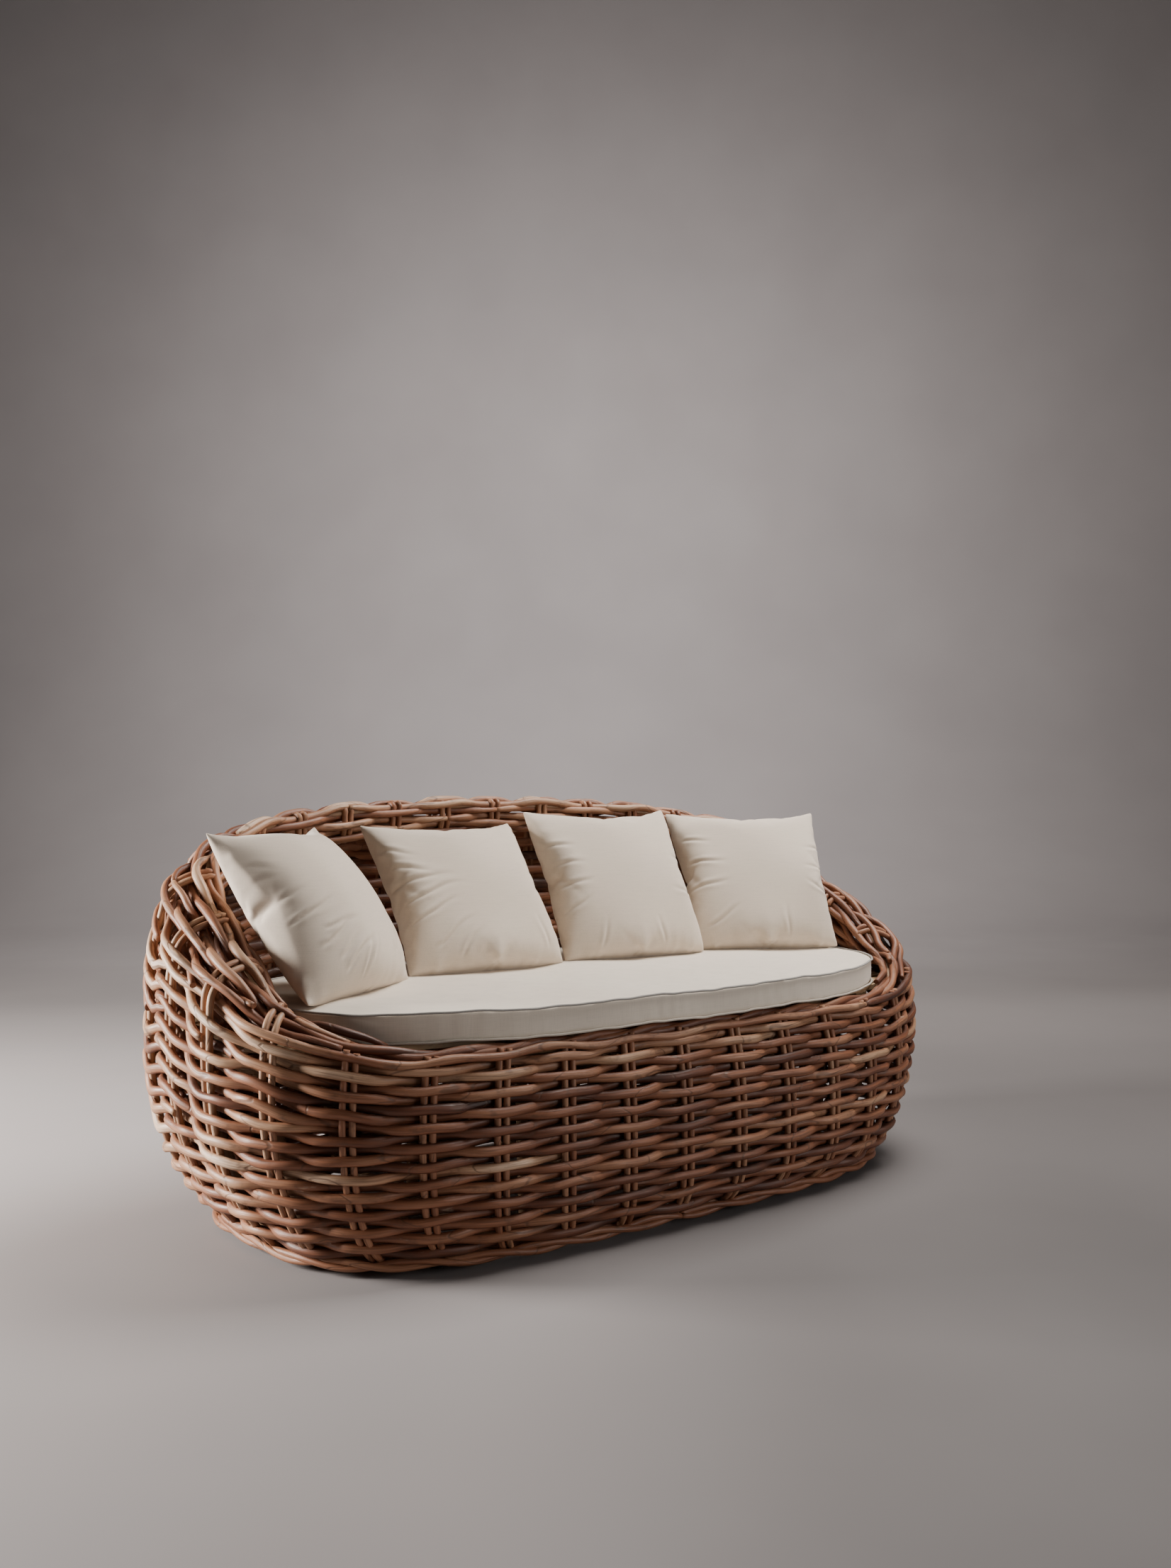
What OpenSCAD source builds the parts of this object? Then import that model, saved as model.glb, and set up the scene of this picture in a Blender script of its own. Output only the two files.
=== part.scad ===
// Woven rattan basket sofa with a boxed seat cushion and four scatter pillows.
// Millimetres, +Z up, X along the sofa, front towards -Y, floor at Z = 0.

/* [Basket plan] */
// Half length of the basket at its widest level
half_len = 900; // [860:5:940]
// Depth of the front part of the plan, at its widest level
front_dep = 490; // [470:5:510]
// Depth of the back part of the plan, at its widest level
back_dep = 360; // [350:5:370]
// Squareness of the front half of the plan
front_square = 3.4; // [3:0.1:3.8]
// Squareness of the back half of the plan
back_square = 2.55; // [2.4:0.05:2.6]

/* [Basket profile] */
// Level where the two ends are widest
end_wide_z = 470; // [440:5:500]
// How far the ends draw in at the floor
end_drawin = 174; // [150:2:190]
// Level where front and back are widest
front_wide_z = 188; // [170:2:210]
// How far front and back draw in at the floor
front_drawin = 83; // [60:1:90]

/* [Rim] */
// Height of the rim at the middle of the front
rim_front_z = 402; // [396:1:408]
// Height of the rim at the middle of the back
rim_back_z = 836; // [800:2:850]
// How far the back rim drops towards the ends
rim_arch = 50; // [30:1:60]

/* [Weave] */
// Diameter of the stakes that stand in pairs
stake_d = 12.4; // [11:0.2:12.6]
// Number of stake pairs around the basket
pairs = 32; // [32:1:32]
// Gap between the centres of the two stakes of a pair
pair_gap = 17.5; // [16:0.5:22]
// Thickness of one layer of weave
weave_t = 13; // [11:0.5:13]

/* [Frame] */
// Diameter of the frame rings
ring_d = 26; // [22:1:28]
// Diameter of the posts and rails
post_d = 22; // [18:1:22]
// Width of a seat slat
slat_w = 44; // [36:1:50]
// Number of seat slats
slats = 10; // [8:1:10]

/* [Seat cushion] */
// Half width of the seat cushion
cush_half_w = 756; // [730:2:756]
// Depth of the front part of the seat cushion
cush_front = 470; // [440:2:470]
// Depth of the back part of the seat cushion
cush_back = 266; // [250:2:268]
// Height of the boxed edge
cush_h = 57; // [50:1:60]

/* [Pillows] */
// Edge length of a filled scatter pillow
pillow_s = 384; // [360:2:386]
// Thickness of a filled scatter pillow
pillow_t = 114; // [100:2:116]

/* [Hidden] */

rattan = "peru";
pole = "burlywood";
linen = "ivory";

mid_y = (front_dep - back_dep) / 2;   // puts the middle of the plan at Y = 0
seg = 2 * pairs;          // plan segments, two for each stake pair
stake_off = 21.5;         // depth of the stake centres behind the outer face
inner_off = 30;           // depth of the inner layer of weave
ring_off = 60;            // depth of the base ring
seat_ring_off = 72;       // depth of the seat ring
foot_z = 10;              // underside of the foot border
wall_z = 34.5;            // where the woven wall starts
ring_z = 34;              // level of the base ring
seat_ring_z = 366;        // level of the seat ring
roll_in = 22;             // radius of the inner side of the rim roll
cush_z = rim_front_z + 0.8;
seat_top = cush_z + cush_h;

// ---- shape of the basket ----
function ease(t) = t * t * (3 - 2 * t);
function lim(t) = min(max(t, 0), 1);
function end_a(z) = z < end_wide_z
    ? half_len - end_drawin * pow(1 - z / end_wide_z, 3.2)
    : half_len - 42 * pow((z - end_wide_z) / 200, 2);
function low_b(z) = front_drawin * pow(1 - z / front_wide_z, 5);
function front_b(z) = front_dep - (z < front_wide_z ? low_b(z) : 22 * pow((z - front_wide_z) / 200, 2));
function back_b(z) = back_dep - (z < front_wide_z ? low_b(z) : 4 * pow((z - front_wide_z) / 500, 2));

// point on a super-ellipse, moved in by off along its normal
function oval(a, rx, ry, n, off) = let(
        c = cos(a), s = sin(a),
        r = pow(pow(abs(c) / rx, n) + pow(abs(s) / ry, n), -1 / n),
        x = r * c, y = r * s,
        nx = sign(x) * pow(abs(x / rx), n - 1) / rx,
        ny = sign(y) * pow(abs(y / ry), n - 1) / ry,
        l = norm([nx, ny]))
    [x - off * nx / l, y - off * ny / l];
function wall(a, z, off) = let(back = sin(a) > 0,
        p = oval(a, end_a(z), back ? back_b(z) : front_b(z), back ? back_square : front_square, off))
    [p[0], p[1] + mid_y, z];

// angles at equal steps along the plan, so that stakes are evenly spaced
trace = [for (i = [0:360]) wall(i, 260, 0)];
run = [for (i = 0, s = 0; i <= 360; s = s + (i < 360 ? norm(trace[i + 1] - trace[i]) : 0), i = i + 1) s];
run_table = [for (i = [0:360]) [run[i], i]];
girth = run[360];
pitch = girth / pairs;
front_run = run[270];
function turn(s) = (s % girth + girth) % girth;
function angle_at(s) = lookup(turn(s), run_table);
start = front_run - 0.22 * pitch;
ang = [for (k = [0:seg - 1]) angle_at(start + k * pitch / 2)];

// ---- rim ----
function rise(a) = let(y = wall(a, 260, 0)[1] - mid_y, u = y / (y > 0 ? back_dep : front_dep))
    pow(ease(lim((u + 0.903) / 2.088)), 0.527);
function blend3(s, f, m, b) = f * (1 - s) + b * s + (m - (f + b) / 2) * 4 * s * (1 - s);
function rim_z(a) = let(s = rise(a), v = wall(a, 260, 0)[0] / half_len)
    rim_front_z + (rim_back_z - rim_arch * v * v - rim_front_z) * s;
function roll_w(a) = blend3(rise(a), 28, 100, 62);
function roll_h(a) = blend3(rise(a), 30, 76, 52);
function spring_z(a) = rim_z(a) - roll_h(a);

// ---- meshes ----
// closed loop of equal sections: pts[section][point]
module loop(pts) {
    n = len(pts);
    m = len(pts[0]);
    polyhedron(points = [for (r = pts) each r],
        faces = [for (i = [0:n - 1], j = [0:m - 1]) let(i2 = (i + 1) % n, j2 = (j + 1) % m)
            each [[i * m + j, i * m + j2, i2 * m + j2], [i * m + j, i2 * m + j2, i2 * m + j]]],
        convexity = 8);
}
// open run of equal sections with flat ends
module strand(pts) {
    n = len(pts);
    m = len(pts[0]);
    polyhedron(points = [for (r = pts) each r],
        faces = concat(
            [for (i = [0:n - 2], j = [0:m - 1]) let(j2 = (j + 1) % m)
                each [[i * m + j, i * m + j2, (i + 1) * m + j2], [i * m + j, (i + 1) * m + j2, (i + 1) * m + j]]],
            [[for (j = [m - 1:-1:0]) j]],
            [[for (j = [0:m - 1]) (n - 1) * m + j]]),
        convexity = 4);
}
// levels up the wall, closer together where it curves in at the foot
function levels(t) = concat([wall_z, 52, 78, 118, 190], [for (j = [1:3]) 190 + (t - 190) * j / 3]);
// layer of weave between two depths, from z0 up to a height that varies with the angle
module layer(o1, o2, tops) {
    loop([for (k = [0:seg - 1]) let(a = ang[k], zs = levels(tops[k])) concat(
        [for (i = [0:7]) wall(a, zs[i], o1)],
        [for (i = [7:-1:0]) wall(a, zs[i], o2)])]);
}
// round ring at one level, octagonal with flat top and bottom
module ring(z, off, d) {
    loop([for (k = [0:seg - 1]) let(a = ang[k]) [for (j = [7:-1:0])
        let(b = 22.5 + 45 * j, p = wall(a, z, off + d / 2 * cos(b))) [p[0], p[1], z + d / 2 * sin(b)]]]);
}
module outline(z, off) {
    polygon([for (k = [0:seg - 1]) let(p = wall(ang[k], z, off)) [p[0], p[1]]]);
}
// round bar between two points
module bar(p, q, d) {
    v = q - p;
    l = norm(v);
    translate(p) rotate([0, acos(v[2] / l), atan2(v[1], v[0])]) cylinder(h = l, d = d, $fn = 32);
}

// ---- basket ----
module outer_weave() color(rattan) layer(0, weave_t, [for (a = ang) spring_z(a) - 1.2]);
module inner_weave() color(rattan)
    layer(inner_off, inner_off + weave_t, [for (a = ang) spring_z(a) - 3 + 0.75 * (roll_h(a) - 30)]);

function roll_point(a, off, z) = let(p = wall(a, spring_z(a), off)) [p[0], p[1], z];
module rim_roll() color(rattan)
    loop([for (a = ang) let(w = roll_w(a), h = roll_h(a), zs = spring_z(a), zr = rim_z(a)) concat(
        [for (b = [0:22.5:90]) roll_point(a, w * (1 - cos(b)), zs + h * sin(b))],
        [roll_point(a, w + roll_in * sin(45), zr - roll_in + roll_in * cos(45)),
         roll_point(a, w + roll_in, zr - roll_in),
         roll_point(a, w + roll_in - weave_t, zr - roll_in),
         roll_point(a, w + (roll_in - weave_t) * sin(45), zr - roll_in + (roll_in - weave_t) * cos(45))],
        [for (b = [90:-22.5:0]) roll_point(a, weave_t + (w - weave_t) * (1 - cos(b)), zs + (h - weave_t) * sin(b))])]);

module foot_border() color(rattan)
    loop([for (a = ang) [for (c = [[0, 20], [0, 34], [43, 34], [43, 20], [34, foot_z], [9, foot_z]])
        let(p = wall(a, wall_z, c[0])) [p[0], p[1], c[1]]]]);

// one stake, k counts both stakes of every pair
function stake_angle(k) = angle_at(start + floor(k / 2) * pitch + (k % 2 == 0 ? -1 : 1) * pair_gap / 2);
module stake(k) {
    a = stake_angle(k);
    p0 = wall(a, 260, 0);
    p1 = wall(a, 260, 10);
    nrm = (p0 - p1) / 10;
    tan = [-nrm[1], nrm[0], 0];
    strand([for (z = levels(spring_z(a) - 3.6)) let(c = wall(a, z + 0.3, stake_off))
        [for (j = [5:-1:0]) c + stake_d / 2 * (nrm * cos(60 * j) + tan * sin(60 * j))]]);
}
module stakes() color(rattan) for (k = [0:2 * pairs - 1]) stake(k);

// pole that the rim is rolled over
module rim_pole() color(pole)
    loop([for (a = ang) let(z = rim_z(a) - 22.5, w = roll_w(a)) [for (j = [7:-1:0]) let(b = 22.5 + 45 * j)
        roll_point(a, w - 0.5 + 7.4 * cos(b), z + 7.4 * sin(b))]]);

// ---- frame ----
flat = ring_d / 2 * cos(22.5);
module base_ring() color(pole) ring(ring_z, ring_off, ring_d);
module seat_ring() color(pole) ring(seat_ring_z, seat_ring_off, ring_d);

post_list = [1, 7, 13, 19, 23, 27, 33, 39, 45, 51, 55, 59];
module posts() color(pole) for (k = post_list) let(z0 = ring_z + flat + 0.05, z1 = seat_ring_z - flat - 0.05,
        p = wall(ang[k], ring_z, ring_off), q = wall(ang[k], seat_ring_z, seat_ring_off))
    strand([for (z = [z0, z1]) let(c = p + (q - p) * (z - ring_z) / (seat_ring_z - ring_z))
        [for (j = [15:-1:0]) c + post_d / 2 * [cos(22.5 * j), sin(22.5 * j), 0]]]);

rail_x = [-400, 0, 400];
module base_rails() color(pole) intersection() {
    for (x = rail_x) translate([x, 0, ring_z]) rotate([90, 0, 0]) cylinder(h = 1200, d = post_d, center = true, $fn = 32);
    linear_extrude(80) outline(ring_z, ring_off + flat + 0.4);
}
module base_stretchers() color(pole) difference() {
    intersection() {
        translate([0, 0, ring_z]) rotate([0, 90, 0]) cylinder(h = 1900, d = post_d, center = true, $fn = 32);
        linear_extrude(80) outline(ring_z, ring_off + flat + 0.4);
    }
    for (x = rail_x) translate([x, 0, ring_z]) rotate([90, 0, 0]) cylinder(h = 100, d = post_d + 0.2, center = true, $fn = 32);
    for (x = rail_x) translate([x, 0, ring_z]) cylinder(h = 60, d = post_d + 0.2, $fn = 32);
}

bearer_t = 14;
bearer_w = 45;
bearer_z = seat_ring_z + flat + 0.05;
bearer_x = [-580, -400, -200, 0, 200, 400, 580];
module centre_posts() color(pole) for (x = rail_x) difference() {
    translate([x, 0, ring_z]) cylinder(h = bearer_z - ring_z - 0.05, d = post_d, $fn = 32);
    translate([x, 0, ring_z]) rotate([90, 0, 0]) cylinder(h = 100, d = post_d + 0.2, center = true, $fn = 32);
    translate([x, 0, ring_z - 30]) cube([100, 100, 60], center = true);
}
module seat_bearers() color(pole) intersection() {
    for (x = bearer_x) translate([x - bearer_w / 2, -600, bearer_z]) cube([bearer_w, 1200, bearer_t]);
    translate([0, 0, bearer_z - 10]) linear_extrude(60) outline(385, 60);
}
slat_z = bearer_z + bearer_t + 0.05;
slat_t = rim_front_z - slat_z;
slat_step = 68;
function slat_y(i) = -slat_step * (slats - 1) / 2 + slat_step * i + 12;
module seat_slats() color(pole) intersection() {
    for (i = [0:slats - 1]) translate([-900, slat_y(i) - slat_w / 2, slat_z]) cube([1800, slat_w, slat_t]);
    translate([0, 0, slat_z - 10]) linear_extrude(60) outline(395, 62);
}

// ---- fasteners ----
module screw(l, d, head) {
    cylinder(h = l, d = d, $fn = 20);
    translate([0, 0, l - 2.5]) cylinder(h = 2.5, d = head, $fn = 20);
}
module bearer_screws() color("silver") for (x = bearer_x, s = [-1, 1]) {
    b = s > 0 ? back_b(seat_ring_z) : front_b(seat_ring_z);
    n = s > 0 ? back_square : front_square;
    y = mid_y + s * (b * pow(1 - pow(abs(x) / end_a(seat_ring_z), n), 1 / n) - seat_ring_off / cos(min(30, abs(x) / 24)));
    translate([x, y, seat_ring_z - 2]) screw(bearer_z + bearer_t - seat_ring_z + 2, 4, 8);
}
module slat_screws() color("silver") for (x = [-200, 0, 200], i = [0:slats - 1])
    translate([x, slat_y(i), bearer_z + 3]) screw(slat_z + slat_t - bearer_z - 3, 3.5, 7);
module ring_screws(z, off) for (k = [0:8:2 * pairs - 1]) {
    a = stake_angle(k);
    bar(wall(a, z, off + ring_d / 2 + 2), wall(a, z, stake_off - 2), 4.5);
    bar(wall(a, z, off + ring_d / 2 + 3), wall(a, z, off + ring_d / 2), 9);
}
module seat_ring_screws() color("silver") ring_screws(seat_ring_z - 5, seat_ring_off);
module base_ring_screws() color("silver") ring_screws(ring_z + 6.5, ring_off);

glide_list = [2, 10, 16, 24, 34, 42, 48, 56];
module glides() color("dimgray") for (k = glide_list) let(p = wall(ang[k], ring_z, ring_off)) translate([p[0], p[1], 0]) difference() {
    cylinder(h = ring_z - flat - 0.05, d = 30, $fn = 48);
    translate([0, 0, -1]) cylinder(h = 6, d = 10, $fn = 32);
    cylinder(h = 40, d = 4.4, $fn = 24);
}
module glide_screws() color("silver") for (k = glide_list) let(p = wall(ang[k], ring_z, ring_off)) translate([p[0], p[1], 0]) {
    translate([0, 0, 2]) cylinder(h = 2.8, d = 8, $fn = 24);
    translate([0, 0, 2]) cylinder(h = 34, d = 4, $fn = 24);
}

// ---- seat cushion ----
function cush_point(a, off) = oval(a, cush_half_w, sin(a) > 0 ? cush_back : cush_front, sin(a) > 0 ? 2.3 : 3, off) + [0, mid_y];
module cush_plan(off) polygon([for (a = [0:4:356]) cush_point(a, off)]);
skin = 2.5;
module seat_foam() color("lightyellow") translate([0, 0, cush_z + skin + 0.1]) linear_extrude(cush_h - 2 * skin - 0.2) cush_plan(skin + 0.3);
module seat_cover_top() color(linen) translate([0, 0, seat_top - skin]) linear_extrude(skin) cush_plan(0);
module seat_cover_bottom() color(linen) translate([0, 0, cush_z]) linear_extrude(skin) cush_plan(0);
zip_w = 400;
zip_y = cush_back + mid_y - 40;
module seat_cover_band() color(linen) difference() {
    translate([0, 0, cush_z + skin + 0.02]) linear_extrude(cush_h - 2 * skin - 0.04) difference() {
        cush_plan(0);
        cush_plan(skin);
    }
    translate([-zip_w / 2, zip_y, cush_z + cush_h / 2 - 7]) cube([zip_w, 80, 14]);
}
module seat_zip() color("lightgray") intersection() {
    translate([0, 0, cush_z]) linear_extrude(cush_h) difference() {
        cush_plan(0.3);
        cush_plan(skin - 0.3);
    }
    translate([-zip_w / 2 + 0.3, zip_y, cush_z + cush_h / 2 - 6.7]) cube([zip_w - 0.6, 80, 13.4]);
}
module piping(z) loop([for (a = [0:4:356]) [for (j = [5:-1:0]) let(p = cush_point(a, -3.3 + 3 * cos(60 * j))) [p[0], p[1], z + 3 * sin(60 * j)]]]);
module seat_piping_top() color("gainsboro") piping(seat_top - 3.2);
module seat_piping_bottom() color("gainsboro") piping(cush_z + 3.2);

// ---- scatter pillows ----
// middle of the bottom edge, turn to the left, lean back
place = [[-552, -78, -31.7, 35.8], [-188, 42, 1.3, 36.2], [207, 31.7, 5.2, 28.9], [569, -26, 25.5, 32.2]];
pg = 8;
function edge(t) = 1 - pow(abs(t), 2.4);
// one half of a pillow surface, w = 1 front, -1 back, in is the depth below the skin
function pillow_pt(i, j, w, in) = let(u = 2 * i / pg - 1, v = 2 * j / pg - 1,
        half = pillow_s / 2 - in * 1.6,
        pull = 0.055,
        x = half * u * (1 - pull * (1 - v * v)),
        y = half * v * (1 - pull * (1 - u * u)),
        z = max(pillow_t / 2 - in, 0) * pow(max(edge(u), 0) * max(edge(v), 0), 0.45))
    [x, y + pillow_s / 2, w * z];
function grid(w, in) = [for (j = [0:pg], i = [0:pg]) pillow_pt(i, j, w, in)];
np = (pg + 1) * (pg + 1);
// each cell's diagonal runs from the nearest corner of the pillow inwards
function cells(base, up) = [for (j = [0:pg - 1], i = [0:pg - 1]) let(a = base + j * (pg + 1) + i, b = a + 1, c = b + pg + 1, d = a + pg + 1,
        t = (2 * i < pg) == (2 * j < pg) ? [[a, d, c], [a, c, b]] : [[a, d, b], [b, d, c]])
    each up ? t : [for (f = t) [f[0], f[2], f[1]]]];
// points along the outer border, counter-clockwise
border = concat([for (i = [0:pg - 1]) i], [for (j = [0:pg - 1]) j * (pg + 1) + pg],
    [for (i = [pg:-1:1]) pg * (pg + 1) + i], [for (j = [pg:-1:1]) j * (pg + 1)]);
module half_cover(w) {
    nb = len(border);
    polyhedron(points = concat(grid(w, 0), grid(w, skin)),
        faces = concat(cells(0, w > 0), cells(np, w < 0),
            [for (k = [0:nb - 1]) let(a = border[k], b = border[(k + 1) % nb])
                each w > 0 ? [[a, b, np + b], [a, np + b, np + a]] : [[a, np + b, b], [a, np + a, np + b]]]), convexity = 6);
}
// grid points inside the border are shared pairs, the border is common to both faces
module pad_solid() {
    g1 = grid(1, skin + 0.5);
    g2 = grid(-1, skin + 0.5);
    inner = [for (k = [0:np - 1]) let(i = k % (pg + 1), j = floor(k / (pg + 1))) (i == 0 || j == 0 || i == pg || j == pg) ? 0 : 1];
    remap = [for (k = [0:np - 1]) inner[k] == 1 ? np + k : k];
    polyhedron(points = concat(g1, g2),
        faces = concat(cells(0, true), [for (f = cells(0, false)) [for (q = f) remap[q]]]), convexity = 4);
}
module put(n) {
    c = place[n];
    translate([c[0], c[1], seat_top + 5.5]) rotate([0, 0, -c[2]]) rotate([90 - c[3], 0, 0]) children();
}
module pillow_front(n) color(linen) put(n) translate([0, 0, 0.02]) half_cover(1);
module pillow_back(n) color(linen) put(n) translate([0, 0, -0.02]) half_cover(-1);
module pillow_pad(n) color("white") put(n) pad_solid();
module pillow_1_front() pillow_front(0);
module pillow_1_back() pillow_back(0);
module pillow_1_pad() pillow_pad(0);
module pillow_2_front() pillow_front(1);
module pillow_2_back() pillow_back(1);
module pillow_2_pad() pillow_pad(1);
module pillow_3_front() pillow_front(2);
module pillow_3_back() pillow_back(2);
module pillow_3_pad() pillow_pad(2);
module pillow_4_front() pillow_front(3);
module pillow_4_back() pillow_back(3);
module pillow_4_pad() pillow_pad(3);

outer_weave();
inner_weave();
rim_roll();
foot_border();
stakes();
rim_pole();
base_ring();
seat_ring();
posts();
base_rails();
base_stretchers();
centre_posts();
seat_bearers();
seat_slats();
bearer_screws();
slat_screws();
seat_ring_screws();
base_ring_screws();
glides();
glide_screws();
seat_foam();
seat_cover_top();
seat_cover_band();
seat_cover_bottom();
seat_piping_top();
seat_piping_bottom();
seat_zip();
pillow_1_front();
pillow_1_back();
pillow_1_pad();
pillow_2_front();
pillow_2_back();
pillow_2_pad();
pillow_3_front();
pillow_3_back();
pillow_3_pad();
pillow_4_front();
pillow_4_back();
pillow_4_pad();
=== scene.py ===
import math
import bpy
import numpy as np
from mathutils import Matrix, Vector


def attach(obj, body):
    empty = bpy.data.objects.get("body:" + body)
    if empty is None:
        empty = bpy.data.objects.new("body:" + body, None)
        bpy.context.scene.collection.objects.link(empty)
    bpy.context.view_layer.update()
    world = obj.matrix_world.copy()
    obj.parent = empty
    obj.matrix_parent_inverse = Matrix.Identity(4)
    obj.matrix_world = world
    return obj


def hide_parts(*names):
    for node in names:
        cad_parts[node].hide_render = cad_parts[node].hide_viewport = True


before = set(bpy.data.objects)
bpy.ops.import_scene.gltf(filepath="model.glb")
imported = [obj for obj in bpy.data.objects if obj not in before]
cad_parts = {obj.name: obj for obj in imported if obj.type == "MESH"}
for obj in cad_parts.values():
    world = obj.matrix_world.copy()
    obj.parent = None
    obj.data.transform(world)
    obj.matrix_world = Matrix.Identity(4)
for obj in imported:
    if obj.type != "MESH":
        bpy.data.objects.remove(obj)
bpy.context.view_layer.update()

rng = np.random.default_rng(11)

# ------------------------------------------------------------------ shape of the basket, in millimetres
MID = 65.0


def end_a(z):
    z = np.asarray(z, float)
    return np.where(z < 470, 900 - 174 * np.clip(1 - z / 470, 0, None) ** 3.2, 900 - 42 * ((z - 470) / 200) ** 2)


def front_b(z):
    z = np.asarray(z, float)
    return 490 - np.where(z < 188, 83 * np.clip(1 - z / 188, 0, None) ** 5, 22 * ((z - 188) / 200) ** 2)


def back_b(z):
    z = np.asarray(z, float)
    return 360 - np.where(z < 188, 83 * np.clip(1 - z / 188, 0, None) ** 5, 4 * ((z - 188) / 500) ** 2)


def wall(a, z, off):
    """Point of the wall at plan angle a (radians), height z, off millimetres behind the outer face."""
    a, z, off = np.broadcast_arrays(np.asarray(a, float), np.asarray(z, float), np.asarray(off, float))
    c, s = np.cos(a), np.sin(a)
    n = np.where(s > 0, 2.55, 3.4)
    ax, by = end_a(z), np.where(s > 0, back_b(z), front_b(z))
    r = ((np.abs(c) / ax) ** n + (np.abs(s) / by) ** n) ** (-1 / n)
    x, y = r * c, r * s
    nx = np.sign(x) * np.abs(x / ax) ** (n - 1) / ax
    ny = np.sign(y) * np.abs(y / by) ** (n - 1) / by
    l = np.hypot(nx, ny)
    return np.stack([x - off * nx / l, y - off * ny / l + MID, z], -1)


_deg = np.radians(np.arange(361))
_trace = wall(_deg, 260, 0)
_run = np.concatenate([[0], np.cumsum(np.linalg.norm(np.diff(_trace, axis=0), axis=1))])
GIRTH = _run[-1]
PITCH = GIRTH / 32
START = _run[270] - 0.22 * PITCH


def angle_at(s):
    return np.interp(np.mod(s, GIRTH), _run, _deg)


def smooth(t):
    t = np.clip(t, 0, 1)
    return t * t * (3 - 2 * t)


def rise(a):
    y = wall(a, 260, 0)[..., 1] - MID
    u = y / np.where(y > 0, 360, 490)
    return smooth((u + 0.903) / 2.088) ** 0.527


def blend3(s, f, m, b):
    return f * (1 - s) + b * s + (m - (f + b) / 2) * 4 * s * (1 - s)


def rim_z(a):
    v = wall(a, 260, 0)[..., 0] / 900
    return 402 + (836 - 50 * v * v - 402) * rise(a)


def roll_w(a):
    return blend3(rise(a), 28, 100, 62)


def roll_h(a):
    return blend3(rise(a), 30, 76, 52)


def spring_z(a):
    return rim_z(a) - roll_h(a)


def drop_h(a):
    """How far the weave is carried down the inside of the roll."""
    s = rise(a)
    return np.clip(np.minimum(blend3(s, 0, 125, 72), rim_z(a) - 22 - 425) * smooth((s - 0.04) / 0.2), 0.5, None)


def lip(a):
    """How much further the roll reaches inwards over the two arms."""
    s = rise(a)
    left = wall(a, 260, 0)[..., 0] < 0
    return np.where(left, 24.0, 12.0) * smooth((s - 0.10) / 0.16) * (1 - smooth((s - 0.58) / 0.25))


# profile of the rolled rim: quarter ellipse up from the wall, a quarter circle over the inside edge, then down the
# inside and back towards the wall
NO_ = 48
_f = np.sin(np.linspace(0, math.pi / 2, 23)[1:])[None, :]


def profile(a):
    """Arc length, depth, height, normal (depth, height) and bend radius along the roll, for an array of angles."""
    a = np.atleast_1d(a)
    w, h, zs, zr = roll_w(a)[:, None], roll_h(a)[:, None], spring_z(a)[:, None], rim_z(a)[:, None]
    b = np.linspace(0, math.pi / 2, 33)[None, :]
    d1, z1 = w * (1 - np.cos(b)), zs + h * np.sin(b)
    nd1, nz1 = -h * np.cos(b), w * np.sin(b)
    l1 = np.hypot(nd1, nz1)
    r1 = (w ** 2 * np.sin(b) ** 2 + h ** 2 * np.cos(b) ** 2) ** 1.5 / (w * h)
    f = np.linspace(0, math.pi / 2, 16)[None, 1:]
    ex = lip(a)[:, None]
    ra, rb = 22 + ex, 22 + 0.6 * ex
    d2, z2 = w + ra * np.sin(f), zr - rb + rb * np.cos(f)
    nd2, nz2 = rb * np.sin(f), ra * np.cos(f)
    l2 = np.hypot(nd2, nz2)
    nd2, nz2 = nd2 / l2, nz2 / l2
    r2 = 22 + 0 * nd2
    dh = drop_h(a)[:, None]
    far = np.minimum(46.0, w + 16)
    d3 = far + (w + ra - far) * np.sqrt(np.clip(1 - _f ** 3, 0, 1))
    z3 = zr - rb - dh * _f
    ed, ez = np.diff(np.hstack([d2[:, -1:], d3])), np.diff(np.hstack([z2[:, -1:], z3]))
    l3 = np.hypot(ed, ez)
    d, z = np.hstack([d1, d2, d3]), np.hstack([z1, z2, z3])
    nd, nz = np.hstack([nd1 / l1, nd2, -ez / l3]), np.hstack([nz1 / l1, nz2, ed / l3])
    t = np.hstack([np.zeros((len(a), 1)), np.cumsum(np.hypot(np.diff(d), np.diff(z)), axis=1)])
    return t, d, z, nd, nz, np.hstack([r1, r2, 30 + 0 * d3]), t[:, NO_ - 1]


def on_roll(a, prof, t, off):
    """Points at arc length t on the roll, off millimetres below its outer surface."""
    tt, d, z, nd, nz, rr, _ = prof
    out = np.empty((len(a), 3))
    for i in range(len(a)):
        di, zi = np.interp(t[i], tt[i], d[i]), np.interp(t[i], tt[i], z[i])
        ni, mi = np.interp(t[i], tt[i], nd[i]), np.interp(t[i], tt[i], nz[i])
        l = math.hypot(ni, mi)
        dd, zz = di - off[i] * ni / l, zi - off[i] * mi / l
        p = wall(a[i], spring_z(a[i]), dd)
        out[i] = (p[0], p[1], zz)
    return out


def harmonics(amp, low, high, r):
    """Smooth periodic noise around the basket, as a function of arc length."""
    ks = r.integers(low, high, 5)
    ph = r.uniform(0, 2 * math.pi, 5)
    am = r.uniform(0.5, 1, 5)
    am *= amp / np.sqrt((am ** 2).sum() / 2)

    def f(s):
        return sum(am[i] * np.sin(2 * math.pi * ks[i] * s / GIRTH + ph[i]) for i in range(5))
    return f


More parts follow.
